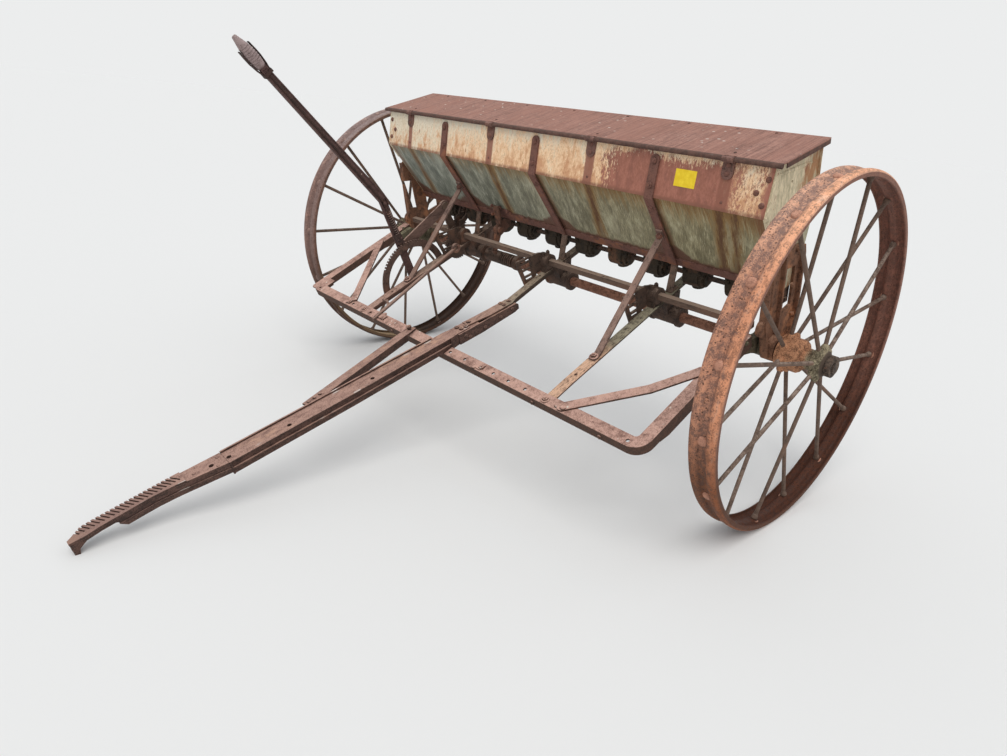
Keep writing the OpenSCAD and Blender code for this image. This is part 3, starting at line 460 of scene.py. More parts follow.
# A domed rivet over each spoke in the groove, a shoulder on each spoke inside the rim, and the raised socket
# that each spoke is cast into at the hub. Odd spokes lean inwards, even ones outwards.
shoulder = [(0, -12), (7.4, -12), (10.5, -4), (11.5, 5), (0, 7)]
socket = [(0, -10), (15, -10), (15.5, 4), (13, 16), (9.5, 22), (7.5, 24), (0, 24)]
for tag, side, mat, first in (("left", 1, near_rivet, 25.5), ("right", -1, far_rivet, 18.0)):
    body = "wheel_" + tag
    a = np.radians(first + np.arange(16) * 22.5)
    outer = np.arange(16) % 2 == 0
    radial = np.stack([np.cos(a), 0 * a, np.sin(a)], 1)
    rim_off = np.outer(side * (wheel_y + np.where(outer, 3, -3)), [0, 1, 0])
    hub_off = np.outer(side * (wheel_y + np.where(outer, 42, -68)), [0, 1, 0])
    tip = radial * 592.4 + rim_off
    foot = radial * np.where(outer, 40, 48)[:, None] + hub_off
    lean = (tip - foot) / np.linalg.norm(tip - foot, axis=1, keepdims=True)
    piece(tag + "_rim_rivets", *turned(radial * 599.2 + rim_off, radial, domes(17, 8.5, 1), 18), mat, body, 50)
    piece(tag + "_spoke_shoulders", *turned(tip - 7 * lean, lean, shoulder), spoke_iron, body, 50)
    piece(tag + "_spoke_sockets", *turned(foot, lean, socket), hub_cast, body, 50)


# Frame. Rolled angle iron, bent at the left corner, with three sills under it and flat bars across the
# corners. Tops are dusty pinkish brown, the hanging legs dark, partly rust and partly painted shade; the sills
# turn grey and green towards the rear.
def frame_finish():
    """Dusty mauve brown tops with darker clouds and pale scuffs, and dark red brown legs below them, their
    darkness partly rust and partly painted shade.
    """
    s = Finish("frame_rust")
    where = s.axes()
    cloud = s.noise(where, 16, 5, 0.65, 0.5)
    mottle, _, both = s.grained(where, (60, 6, 0.7), (260, 4, 0.7), 0.5)
    blotch = s.plus(both, cloud, 0.5)
    # The legs and every face that doesn't face the sky: dark rust with painted shade in it.
    leg_rust_and_shade = s.blend(s.span(both, 0.38, 0.6), (0.036, 0.019, 0.012), (0.105, 0.053, 0.036))
    top = s.blend(s.span(blotch, 0.6, 0.8), (0.23, 0.128, 0.1), (0.53, 0.325, 0.262))
    top = s.blend(s.span(blotch, 0.78, 0.9, 0, 0.7), top, (0.68, 0.475, 0.395))
    patches = s.times(s.span(cloud, 0.53, 0.63), s.span(mottle, 0.44, 0.56), 0.35)
    top = s.blend(patches, top, (0.48, 0.255, 0.175))
    c = s.blend(s.facing_up(), leg_rust_and_shade, top)
    c = s.blend(s.span(both, 0.44, 0.36, 0, 0.7), c, (0.11, 0.055, 0.04))
    c = s.over(c, (0.66, 0.58, 0.5), s.flecks(where, 60, 0.12, 0.3), s.facing_up())
    return s.done(c, s.span(mottle, 0.3, 0.7, 0.72, 0.92), s.bump(both, 0.002, 0.8))


frame_rust = frame_finish()
dress(["front_bar", "side_bar_left", "side_bar_right", "diagonal_left", "diagonal_right"], frame_rust)


def sill_finish():
    """Frame rust that fades into grey-green weathered iron behind the feet of the struts."""
    s = Finish("sill_rust")
    where = s.axes()
    cloud = s.noise(where, 9, 4, 0.6, 0.4)
    mottle = s.noise(where, 50, 6, 0.7)
    grain = s.noise(s.axes((6, 1, 1)), 260, 4, 0.7)
    both = s.mixed(grain, mottle, 0.5)
    up = s.facing_up()
    tan = s.blend(s.span(s.part(where, 1), 0.2, 0.4), (0.43, 0.27, 0.212), (0.66, 0.42, 0.285))
    # Below the dusty tops, the dark colour of the sides and legs is partly rust and partly painted shade.
    fore = s.over((0.11, 0.058, 0.042), tan, up, s.span(both, 0.34, 0.54))
    aft = s.over((0.07, 0.056, 0.04), (0.34, 0.3, 0.21), up, s.span(both, 0.36, 0.56))
    back = s.span(s.plus(s.part(where, 0), cloud, 0.16), 0.5, 0.38)
    c = s.over(fore, aft, back, s.span(s.part(where, 1), -0.2, 0.2, 0.35, 1.0))
    c = s.blend(s.span(grain, 0.46, 0.3, 0, 0.7), c, (0.055, 0.032, 0.024))
    return s.done(c, 0.88, s.bump(both, 0.002, 0.8))


dress(["sill_left", "sill_middle", "sill_right"], sill_finish())
strut_rust = rusty("strut_rust", (0.07, 0.04, 0.032), (0.16, 0.096, 0.076), (0.345, 0.225, 0.178), 0.74, 0.02,
                   run=(4, 1, 1))
dress(["strut_left", "strut_right", "lift_link", "pull_rod"], strut_rust)

front_lean = math.radians(11)
front_up = (math.sin(front_lean), 0.0, math.cos(front_lean))
front_ahead = (front_up[2], 0.0, -front_up[0])
front_x, front_z = 692, -27
sill_rise = 0.163
sill_up = (math.sin(math.atan(sill_rise)), 0.0, math.cos(math.atan(sill_rise)))
knee_x = 560
knee_z = front_z + (front_x - knee_x) * math.tan(front_lean) - 6.3


def on_front(xy, lift=0.0):
    """Places on the sloping front frame: height = front_z + (front_x - x) * tangent of its lean, plus lift."""
    xy = np.atleast_2d(np.asarray(xy, float))
    return np.stack([xy[:, 0], xy[:, 1], front_z + (front_x - xy[:, 0]) * math.tan(front_lean) + lift], 1)


def on_sill(xy, lift=0.0):
    """Places on a sill behind its knee: height = knee_z + sill_rise * (knee_x - x), plus lift."""
    xy = np.atleast_2d(np.asarray(xy, float))
    return np.stack([xy[:, 0], xy[:, 1], knee_z + sill_rise * (knee_x - xy[:, 0]) + lift], 1)


# Bolts and rivets of the frame: square heads on washers at the sills, round rivets beside them, and under the
# bar the nuts of each. The foot of each strut has a large bolt.
washer = [(0, -0.5), (17, -0.5), (17, 2), (15.5, 3), (0, 3)]
under_bar = [-v for v in front_up]
square_xy = [[672, 551], [673, -560], [673, -675], [671, -416], [673, 228]]
round_at = on_front([[674, 606], [684, 197], [650, -431], [676, -690]])
foot_xy = [[428, 555], [428, -555]]
piece("frame_washers", *joined(
    turned(on_front(square_xy[:2]), front_up, washer, 20),
    turned(on_sill(foot_xy, 7.8), sill_up, washer, 20)), frame_rust)
piece("frame_bolts", *joined(
    turned(on_front(square_xy), front_up, nuts(11.5, 8), 6, 0.3),
    turned(on_front(square_xy + [[674, 606], [676, 636]], -12.6), under_bar, nuts(10, 8), 6),
    turned(on_sill(foot_xy, 10.5), sill_up, nuts(11, 8), 6)), frame_rust)
piece("frame_rivets", *joined(
    turned(round_at, front_up, domes(10.5, 6), 16),
    turned(on_front([[676, 636]], 7.2), front_up, domes(12, 6), 16),
    turned([[691.5, 502, -48], [691.5, -330, -48], [691.5, 800, -48]], [1, 0, 0], domes(8, 4), 12)), frame_rust)


def plate(outline, at, u, v, thick, bulge=0.0):
    """A flat forging: outline points (a, b) become at + a * u + b * v, with a second copy moved by thick
    along u x v, and both ends closed over their middle point, which stands out by bulge."""
    at, u, v = (np.asarray(q, float) for q in (at, u, v))
    u, v = u / np.linalg.norm(u), v / np.linalg.norm(v)
    w = np.cross(u, v)
    ab = np.asarray(outline, float)
    low = at + ab[:, :1] * u + ab[:, 1:] * v
    high = low + thick * w
    mid = low.mean(0)
    rings = np.concatenate([np.broadcast_to(mid, low.shape), low, high,
                            np.broadcast_to(mid + (thick + bulge) * w, low.shape)])
    return rings, quads(4, len(ab))


# Clip plates: a small ragged plate bolted over the middle of the front bar, and a head of the clamp beside
# the pull rod.
lug = [(-24, -15), (18, -17), (26, -8), (24, 13), (10, 19), (-22, 17)]
clamp = [(-26, -12), (22, -13), (22, 12), (-24, 14)]
rearward = [-v for v in front_ahead]
piece("clip_plates", *joined(
    plate(lug, on_front([[670, 212]], 0.2)[0], (0, 1, 0), rearward, 4, 0.8),
    plate(clamp, on_front([[668, -424]], 0.2)[0], (0, 1, 0), rearward, 5, 0.8)), frame_rust)

# Struts and straps. Flat iron: each strut runs from a sill to the foot of a strap on the box, and each strap
# is bent over the knee of the box. Upper ends are pinned with square nuts.
strap_rust = rusty("strap_rust", (0.08, 0.036, 0.027), (0.18, 0.082, 0.061), (0.25, 0.135, 0.108), warm=0.7,
                   orange=(0.28, 0.108, 0.05))
dress(["straps", "box_rail"], strap_rust)
post_rust = rusty("post_rust", (0.05, 0.035, 0.026), (0.2, 0.13, 0.095), (0.33, 0.24, 0.18), 0.5, 0.0, 0.4)
dress(["posts"], post_rust)
dress(["lid_hinges"], rusty("hinge_rust", (0.05, 0.026, 0.02), (0.185, 0.095, 0.075), (0.26, 0.15, 0.125), 0.5))

band_top, band_up, band_out = np.array([[62, 0, 637], [-0.326, 0, 0.945], [0.945, 0, 0.326]])
panel_foot, panel_up, panel_out = np.array([[-42, 0, 190], [0.448, 0, 0.894], [0.894, 0, -0.448]])


def on_slope(start, way, out, y, up, lift):
    """Places on a sloping sheet: start, plus y across the machine, up along the sheet and lift out of it."""
    y, up = np.broadcast_arrays(np.asarray(y, float), np.asarray(up, float))
    return (start + y[..., None] * [0, 1, 0] + up[..., None] * way + lift * out).reshape(-1, 3)


def on_band(y, up, lift):
    """Places on the front band, up from its top edge."""
    return on_slope(band_top, band_up, band_out, y, up, lift)


def on_panel(y, up, lift):
    """Places on the sloping panel, up from its bottom edge."""
    return on_slope(panel_foot, panel_up, panel_out, y, up, lift)


hinge_ys = np.array([-807.0, -259.0, 276.0, 822.0])
piece("strap_bolts", *joined(
    turned(on_band(sill_ys[:, None], [-38, -116], 8.2), band_out, nuts(10, 7), 6),
    turned(on_panel(sill_ys[:, None], [292], 8.2), panel_out, nuts(12, 9), 6, 0.4),
    turned(on_panel(sill_ys[:, None], [232, 60], 8.2), panel_out, domes(8, 4.5), 14),
    turned(on_panel(sill_ys[[0, 2]], 172, 21), panel_out, nuts(12, 11), 6, 0.2)), strap_rust)
piece("hinge_bolts", *turned(on_band(hinge_ys[:, None], [-16, -43], 7.2), band_out, domes(8.5, 5), 16),
      strap_rust)

# Seed box. One sheet of galvanised iron folded to a V, brushed by the weather into pale and dark streaks,
# with rust running down from each hinge, a stain under the painted band and rust creeping up from the bottom
# edge.
foot_of = tuple(level(panel_foot))


def galvanised():
    s = Finish("galvanised", 0.62)
    slope = pitch + math.radians(26.6)
    here = s.axes((1, 1, 1), foot_of, slope)
    height, out, y = s.part(here, 2), s.part(here, 0), s.part(here, 1)
    brushed = s.noise(s.axes((1, 1, 16), foot_of, slope, -0.16), 380, 4, 0.78)
    broad = s.noise(s.axes((1, 1, 4), foot_of, slope, -0.16), 34, 4, 0.65)
    grain = s.noise(here, 420, 3, 0.7)
    lanes = s.mixed(brushed, broad, 0.6)
    front = s.span(out, -0.05, -0.02)
    near = s.span(y, -0.9, 0.7)
    base = s.blend(near, (0.225, 0.242, 0.196), (0.295, 0.258, 0.145))
    dark = s.blend(near, (0.088, 0.098, 0.08), (0.128, 0.106, 0.058))
    pale = s.blend(near, (0.54, 0.555, 0.465), (0.64, 0.59, 0.4))
    patch = s.noise(s.axes((1, 1, 2), foot_of, slope), 9, 5, 0.66, 0.4)
    c = s.blend(s.span(lanes, 0.51, 0.43, 0, 0.8), base, dark)
    c = s.blend(s.span(patch, 0.5, 0.62, 0, 0.45), c, dark)
    c = s.blend(s.span(lanes, 0.52, 0.6, 0, 0.62), c, pale)
    c = s.blend(s.span(patch, 0.48, 0.36, 0, 0.3), c, pale)
    drips = s.noise(s.axes((1, 1, 60), foot_of, slope), 75, 5, 0.8)
    reach = s.plus(s.plus(height, y, 0.035), drips, 0.34)
    stain = s.times(s.span(reach, 0.42, 0.53), front)
    c = s.over(c, (0.3, 0.165, 0.045), stain, s.span(brushed, 0.4, 0.58, 0.35, 0.9))
    burnt = s.times(s.span(reach, 0.485, 0.535), front, s.span(brushed, 0.38, 0.54), 0.8)
    c = s.blend(burnt, c, (0.165, 0.075, 0.025))
    for at, wide in ((-0.807, 0.004), (-0.259, 0.006), (0.276, 0.008), (0.818, 0.007), (0.872, 0.002)):
        wobble = s.plus(s.plus(s.plus(y, height, -0.16), drips, 0.05), brushed, 0.06)
        wide_run = s.times(s.strip(wobble, at, wide + 0.006, 0.022), front)
        c = s.over(c, (0.25, 0.13, 0.035), wide_run, s.span(broad, 0.35, 0.52, 0.35, 0.85))
        core = s.times(s.strip(wobble, at, wide * 0.6, 0.014), front, s.span(broad, 0.38, 0.54, 0.45, 0.95))
        c = s.blend(core, c, (0.105, 0.045, 0.018))
    arch = 0.0
    for at in (-0.555, 0.0, 0.555, -0.97, 0.97):
        beside = s.strip(y, at, 0.014, 0.1)
        arch = s.plus(arch, s.times(beside, front), 0.055)
        halo = s.times(s.strip(y, at, 0.021, 0.022), front, s.span(brushed, 0.36, 0.52))
        c = s.over(c, (0.185, 0.07, 0.028), halo, 0.75)
    creep = s.span(s.math("SUBTRACT", s.plus(height, broad, -0.06), arch), 0.026, 0.006)
    rust = s.blend(s.span(grain, 0.4, 0.6), (0.07, 0.032, 0.02), (0.185, 0.08, 0.05))
    c = s.over(c, rust, creep, 0.95)
    behind = s.span(out, -0.02, -0.06)
    long = s.noise(s.axes((1, 1, 3)), 7, 5, 0.62, 0.3)
    fall = s.noise(s.axes((1, 1, 14)), 60, 5, 0.72)
    zinc = s.blend(s.span(fall, 0.38, 0.62), (0.175, 0.155, 0.115), (0.32, 0.29, 0.22))
    worn = s.span(s.plus(s.plus(long, grain, 0.25), fall, 0.6), 0.9, 1.08)
    brown = s.blend(s.span(grain, 0.38, 0.6), (0.135, 0.062, 0.04), (0.275, 0.135, 0.085))
    c = s.blend(behind, c, s.blend(s.math("MAXIMUM", worn, s.times(creep, 0.95)), zinc, brown))
    c = s.blend(s.span(grain, 0.42, 0.3, 0, 0.35), c, (0.09, 0.075, 0.05))
    return s.done(c, s.span(lanes, 0.3, 0.7, 0.5, 0.75), s.bump(lanes, 0.0012, 0.5))


dress(["hopper_shell"], galvanised())


def end_plate():
    """Old cream paint over galvanised sheet, worn to grey, with rust from the rear corner and along the
    folds."""
    s = Finish("end_paint", 0.7)
    where = s.axes((1, 1, 3))
    height, x = s.part(s.axes(), 2), s.part(s.axes(), 0)
    cloud = s.noise(where, 13, 5, 0.65, 0.6)
    mottle = s.noise(where, 60, 6, 0.72)
    grain = s.noise(where, 300, 3, 0.7)
    c = s.blend(s.span(mottle, 0.36, 0.62), (0.46, 0.39, 0.25), (0.8, 0.68, 0.47))
    c = s.blend(s.span(height, 0.5, 0.36, 0, 0.6), c, (0.33, 0.31, 0.22))
    rear = s.span(s.plus(s.plus(cloud, mottle, 0.5), x, -0.8), 0.84, 0.98)
    c = s.over(c, (0.36, 0.155, 0.06), rear, 0.9)
    c = s.over(c, (0.26, 0.105, 0.06), s.span(mottle, 0.56, 0.66), s.span(cloud, 0.45, 0.6), 0.8)
    c = s.blend(s.span(grain, 0.4, 0.3, 0, 0.6), c, (0.14, 0.09, 0.05))
    return s.done(c, 0.75, s.bump(mottle, 0.0012, 0.6))


end_paint = end_plate()
dress(["hopper_ends"], end_paint)


# The band along the front was painted cream. It is clean at the far end, flecked with orange towards the
# middle, rusted to plain red brown on the near half, and flecked again at the near end. Rust runs under each
# hinge.
def band_paint():
    s = Finish("band_paint", 0.7)
    where = s.axes()
    here = s.axes((1, 1, 2.2), tuple(level(band_top)), pitch - math.radians(19.04))
    y = s.part(where, 1)
    drop = s.times(s.part(here, 2), -2.2)
    cloud = s.noise(here, 11, 5, 0.62, 0.5)
    mottle = s.noise(here, 48, 6, 0.74, 0.3)
    grain = s.noise(here, 260, 4, 0.75)
    rag = s.plus(s.plus(s.times(cloud, 0.35), grain, 0.3), mottle, 0.5)
    cream = s.blend(s.span(grain, 0.34, 0.6), (0.66, 0.53, 0.35), (0.84, 0.75, 0.6))
    ochre = s.blend(s.span(grain, 0.34, 0.58), (0.64, 0.34, 0.165), (0.92, 0.65, 0.41))
    both = s.mixed(grain, mottle, 0.4)
    red = s.blend(s.span(both, 0.42, 0.58), (0.29, 0.112, 0.074), (0.39, 0.16, 0.112))
    aged = s.math("ADD", s.span(y, -0.85, -0.05, -0.07, 0.07), s.span(drop, 0.0, 0.15, -0.06, 0.05))
    c = s.blend(s.span(s.math("ADD", rag, aged), 0.48, 0.65), cream, ochre)
    worn = s.math("ADD", s.span(y, -0.9, 0.25, -0.02, 0.01), s.span(drop, 0.0, 0.15, -0.05, 0.04))
    c = s.over(c, (0.52, 0.235, 0.115), s.span(s.math("ADD", rag, worn), 0.575, 0.68), 0.75)
    pale = s.times(s.span(drop, 0.05, 0.0), s.span(y, 0.35, 0.0), s.span(rag, 0.64, 0.52))
    c = s.over(c, (0.76, 0.69, 0.56), pale, 0.7)
    spots = s.flecks(here, 60, 0.35, 0.3)
    c = s.over(c, (0.36, 0.15, 0.065), spots, s.span(cloud, 0.4, 0.55), 0.8)
    fine = s.noise(here, 150, 5, 0.78)
    torn = s.mixed(fine, cloud, 0.6)
    ragged = s.plus(s.plus(y, fine, 0.3), cloud, 0.16)
    middle = s.times(s.span(ragged, 0.57, 0.6), s.span(ragged, 1.085, 1.055))
    flecked = s.span(s.plus(drop, torn, -0.24), -0.108, -0.092)
    c = s.over(c, red, middle, flecked)
    c = s.blend(s.span(s.plus(y, rag, 0.06), 0.982, 1.000), c, red)
    c = s.over(c, (0.215, 0.085, 0.062), middle, s.span(s.noise(here, 20, 5, 0.7), 0.48, 0.62), 0.5)
    near_end = s.times(s.strip(y, 0.895, 0.055, 0.02), s.span(torn, 0.5, 0.55))
    c = s.over(c, red, near_end, 0.9)
    widths = (0.01, 0.014, 0.017, 0.017, 0.016, 0.016, 0.018)
    for at, wide in zip([*hinge_ys / 1000, *sill_ys / 1000], widths):
        streak = s.strip(s.plus(s.math("ADD", y, -0.007), mottle, 0.014), at, wide, 0.007)
        c = s.over(c, (0.27, 0.105, 0.07), streak, s.span(drop, 0.02, 0.05), 0.92)
    c = s.over(c, (0.2, 0.085, 0.055), s.span(drop, 0.138, 0.15), s.span(rag, 0.4, 0.6), 0.8)
    c = s.blend(s.span(grain, 0.4, 0.3, 0, 0.5), c, (0.2, 0.085, 0.05))
    return s.done(c, s.span(mottle, 0.3, 0.7, 0.62, 0.88), s.bump(rag, 0.0012, 0.6))


band_mat = band_paint()
dress(["hopper_band"], band_mat)
end_ys = np.array([957.0, 928.0, 954.0])
end_ups = np.array([-41.0, -83.0, -116.0])
piece("band_bolts", *joined(
    turned(on_band(end_ys, end_ups, 2.0), band_out, domes(9.5, 6), 16),
    turned(on_band(-end_ys, end_ups, 2.0), band_out, domes(9.5, 6), 16),
    turned(on_band(hinge_ys, -128, 2.0), band_out, domes(5, 2.5), 12)), strap_rust)

yellow = Finish("yellow_sticker", 0.45)
faded = yellow.span(yellow.noise(yellow.axes(), 60, 4, 0.6), 0.35, 0.7)
dress(["sticker"], yellow.done(yellow.blend(faded, (0.8, 0.55, 0.012), (0.9, 0.66, 0.03))))


# Stiffening folds pressed into both end plates: a long one under the lid and a shorter one lower down, each
# rising towards the front.
def bead(p, q, width, high, side, n=24):
    """A pressed fold from p to q on an end plate: across it a half circle of the width over a flat back,
    raised to high, and along it both times sin(pi t) to the power 0.35, so it runs out to a point at each
    end."""
    p, q = np.asarray(p, float), np.asarray(q, float)
    t = np.linspace(0, 1, n)
    a = np.linspace(0, 2 * np.pi, 16, endpoint=False)
    along = (q - p) / np.linalg.norm(q - p)
    over = np.array([along[2], 0, -along[0]])
    fade_out = (np.sin(np.pi * t) * (t < 1))[:, None, None] ** 0.35
    line = p + t[:, None] * (q - p)
    rise = np.maximum(np.sin(a), -0.1)[None, :, None] * high * fade_out - 0.4
    pts = line[:, None, :] + np.cos(a)[None, :, None] * width * fade_out * over + rise * np.array([0, side, 0])
    return pts.reshape(-1, 3), quads(n, len(a))


folds = [bead((x0, s * 970, z0), (x1, s * 970, z1), 7, 4, s) for s in (-1, 1)
         for x0, z0, x1, z1 in ((52, 606, -176, 584), (70, 470, -150, 440))]
piece("end_folds", *joined(*folds), end_paint, smooth=60)


# Lid. A flat sheet with a rolled front edge, rusted an even mauve brown, with fine lines from front to back,
# dark lines of painted shade along shallow ribs, pale lime specks, and painted shade that makes the rolled edge
# and the underside nearly black.
def lid_sheet():
    s = Finish("lid_sheet", 0.8)
    where = s.axes()
    x, y = s.part(where, 0), s.part(where, 1)
    cloud = s.noise(s.axes((3, 1, 1)), 9, 4, 0.6, 0.3)
    lines = s.noise(s.axes((20, 1, 1)), 130, 5, 0.74)
    mottle = s.noise(where, 55, 6, 0.72)
    grain = s.noise(where, 330, 3, 0.72)
    tone = s.plus(s.plus(s.times(grain, 0.25), mottle, 0.3), lines, 0.45)
    c = s.blend(s.span(tone, 0.4, 0.6), (0.195, 0.092, 0.068), (0.425, 0.228, 0.178))
    c = s.blend(s.span(cloud, 0.42, 0.66, 0, 0.5), c, (0.34, 0.158, 0.115))
    # Dark lines every 76.5 mm across the lid: painted shade along shallow ribs, also raised by the bump.
    wave = s.math("ABSOLUTE", s.math("SINE", s.times(s.plus(y, lines, 0.006), math.pi / 0.0765)))
    rib_shade = s.times(s.span(wave, 0.1, 0.0), s.span(s.noise(s.axes((2, 6, 1)), 8, 2), 0.42, 0.6))
    c = s.over(c, (0.13, 0.062, 0.05), rib_shade, 0.55)
    c = s.blend(s.span(grain, 0.42, 0.3, 0, 0.5), c, (0.12, 0.055, 0.045))
    area = s.span(s.noise(where, 6, 3, 0.5), 0.42, 0.6)
    lime = s.times(s.flecks(s.axes((1, 1.6, 1)), 75, 0.16, 0.3), area, s.facing_up())
    c = s.blend(lime, c, (0.68, 0.6, 0.54))
    c = s.over(c, (0.07, 0.035, 0.03), s.flecks(where, 30, 0.1, 0.14), 0.8)
    # Painted shade: the underside of the lid and its rolled front edge are made nearly black.
    shaded_edge_and_underside = s.math("MAXIMUM", s.span(x, 0.066, 0.071), s.span(s.part(where, 2), 0.6455, 0.6435))
    c = s.over(c, (0.066, 0.034, 0.025), shaded_edge_and_underside, s.span(mottle, 0.35, 0.6, 1.0, 0.8))
    height = s.plus(tone, rib_shade, -0.5)
    return s.done(c, s.span(mottle, 0.3, 0.7, 0.66, 0.86), s.bump(height, 0.0022, 0.7))


lid_mat = lid_sheet()
dress(["lid"], lid_mat)
rivet_rust = rusty("rivet_rust", (0.04, 0.02, 0.016), (0.14, 0.072, 0.058), (0.22, 0.12, 0.1))
rear_ys = (-850, -580, -310, -40, 230, 500, 690, 827)
lid_at = [[37, y - 2, 648.9] for y in hinge_ys] + [[-188, y, 648.9] for y in rear_ys]
piece("lid_rivets", *turned(lid_at, [0, 0, 1], domes(5.5, 3), 14), rivet_rust, "lid")

# Feed. Ten dark cast cups under the box on one square shaft, driven by gears from the axle. The castings were
# oiled once and are nearly black; each cup is held to the box by two bolts through its ears.
cup_cast = rusty("cup_cast", (0.01, 0.007, 0.004), (0.045, 0.031, 0.019), (0.1, 0.075, 0.05), warm=0.3)
dress(["feed_cups"], cup_cast)
dress(["feed_shaft", "drive_gears", "rock_bearings"], dark_cast)
rate_rust = rusty("rate_rust", (0.035, 0.018, 0.012), (0.135, 0.066, 0.044), (0.24, 0.14, 0.1), warm=0.6)
dress(["rate_lever"], rate_rust)
cup_ys = (np.arange(10) - 4.5) * 178
ears = [[-50, y + d, 168] for y in cup_ys for d in (-30, 30)]
flange = [[-90 + 33 * math.cos(a), y + 40, 139 + 33 * math.sin(a)] for y in cup_ys for a in (-0.9, 0.35, 3.6)]
piece("cup_bolts", *joined(
    turned(ears, [1, 0, 0], nuts(8, 7, 3), 6),
    turned(flange, [0, 1, 0], domes(6, 5, 1), 10)), cup_cast)
piece("rate_bolts", *joined(
    turned([[20, -382, 262], [22, -382, 224]], [0, -1, 0], nuts(8, 6), 6),
    turned(on_panel(-366, 64, 2.0), panel_out, nuts(11, 9), 6),
    turned(on_panel(-322, 52, 2.0), panel_out, nuts(10, 8), 6, 0.4)), strap_rust)

# Two small cast feet on the sloping panel above the rate lever. Each is a rounded pad, wider across the
# machine than up the sheet, with a crowned face.
a = np.linspace(0, 2 * np.pi, 20, endpoint=False)
pad = np.stack([30 * np.cos(a) * (1 + 0.25 * np.cos(2 * a)), 20 * np.sin(a)], 1)
piece("panel_pads", *joined(
    plate(pad, on_panel(-344, 40, 0.3)[0], (0, 1, 0), panel_up, 6, 3),
    plate(pad, on_panel(-250, 24, 0.3)[0], (0, 1, 0), panel_up, 6, 3)), strap_rust)

# Ladder castings bolted to the sills, each with two bolts in its foot and a capped bearing over the rock
# shaft.
ladder_at = [[x, y - off, 148] for y, off in zip(sill_ys, (12, 26, 30)) for x in (205, 120)]
cap_at = [[x, y - 8, 139] for y in sill_ys for x in (62, 88)]
piece("ladder_bolts", *joined(
    turned(ladder_at, [0, -1, 0], domes(7, 4), 12),
    turned(cap_at, [0, 0, 1], nuts(8, 9, 8), 6)), dark_cast)

# Rock shaft. A square bar across the machine that the lift gear turns, worn pale brown on top by the weather,
# dark underneath.
shaft_rust = rusty("shaft_rust", (0.06, 0.039, 0.029), (0.135, 0.086, 0.062), (0.36, 0.26, 0.2), 0.78,
                   warm=0.2, run=(1, 5, 1))
dress(["rock_shaft"], shaft_rust)

# Lift gear. A long forged lever with raised edges turns on the quadrant, whose notches hold its latch. The
# iron is dark purple brown, rubbed smoother than the frame; the latch rod runs up to leaves beside the turned
# grip.
pivot, bend, grip_end = np.array([371.0, 0, 2]), np.array([442.0, 0, 392]), np.array([867.0, 0, 1100])
bar_way = (bend - pivot) / np.linalg.norm(bend - pivot)
handle_way = (grip_end - bend) / np.linalg.norm(grip_end - bend)
lever_rust = rusty("lever_rust", (0.036, 0.019, 0.015), (0.105, 0.056, 0.05), (0.15, 0.088, 0.08), 0.35,
                   0.03, 0.15, (0.14, 0.07, 0.045))
latch_rust = rusty("latch_rust", (0.018, 0.011, 0.009), (0.058, 0.032, 0.026), (0.11, 0.065, 0.055), 0.3,
                   warm=0.1)
grip_wear = rusty("grip_wear", (0.1, 0.068, 0.064), (0.25, 0.185, 0.178), (0.4, 0.315, 0.305), 0.7, 0.04, 0.1,
                  (0.18, 0.11, 0.09))


def lever_finish():
    """Lever rust up to the neck, and above it the paler iron of the grip, where hands kept it smooth. How far
    along the handle a point lies is x and z of the level machine times those of handle_way, added."""
    s = Finish("lever_iron")
    where = s.axes()
    mottle, _, both = s.grained(where, (42, 5, 0.62), (240, 4, 0.66), 0.45)
    along = s.plus(s.times(s.part(where, 2), handle_way[2]), s.part(where, 0), handle_way[0])
    up = s.facing_up()
    bar = s.blend(s.span(both, 0.36, 0.58), (0.045, 0.024, 0.019), (0.11, 0.06, 0.053))
    bar = s.over(bar, (0.17, 0.105, 0.092), up, s.span(both, 0.4, 0.6), 0.6)
    grip = s.blend(s.span(both, 0.34, 0.56), (0.15, 0.105, 0.098), (0.34, 0.255, 0.245))
    grip = s.over(grip, (0.46, 0.37, 0.36), up, s.span(both, 0.46, 0.6), 0.7)
    c = s.blend(s.span(s.plus(along, mottle, 0.012), 1.264, 1.276), bar, grip)
    c = s.blend(s.flecks(where, 70, 0.05, 0.22), c, (0.5, 0.38, 0.3))
    return s.done(c, s.span(mottle, 0.3, 0.7, 0.62, 0.85), s.bump(both, 0.0014, 0.7))


lever_iron = lever_finish()
dress(["hand_lever"], lever_iron)
dress(["lever_latch"], latch_rust)
quadrant_rust = rusty("quadrant_rust", (0.03, 0.017, 0.012), (0.105, 0.062, 0.048), (0.24, 0.16, 0.13),
                      lime=0.03, warm=0.2)
dress(["quadrant"], quadrant_rust)


def wire(path, r, helper, sides=8):
    """A round wire along a path: point = path + r * (cos a * n + sin a * b), where n is square to the path
    and to the helper direction, and b to the path and n. Both ends close on the path itself."""
    path, helper = np.asarray(path, float), np.asarray(helper, float)
    t = np.gradient(path, axis=0)
    t /= np.linalg.norm(t, axis=1, keepdims=True)
    n = np.cross(t, helper)
    n /= np.linalg.norm(n, axis=1, keepdims=True)
    b = np.cross(t, n)
    a = np.linspace(0, 2 * np.pi, sides, endpoint=False)
    thick = np.full(len(path) + 2, float(r))
    thick[[0, -1]] = 0
    path, n, b = (np.concatenate([q[:1], q, q[-1:]]) for q in (path, n, b))
    ring = np.cos(a)[None, :, None] * n[:, None] + np.sin(a)[None, :, None] * b[:, None]
    pts = path[:, None] + thick[:, None, None] * ring
    return pts.reshape(-1, 3), quads(len(path), sides)


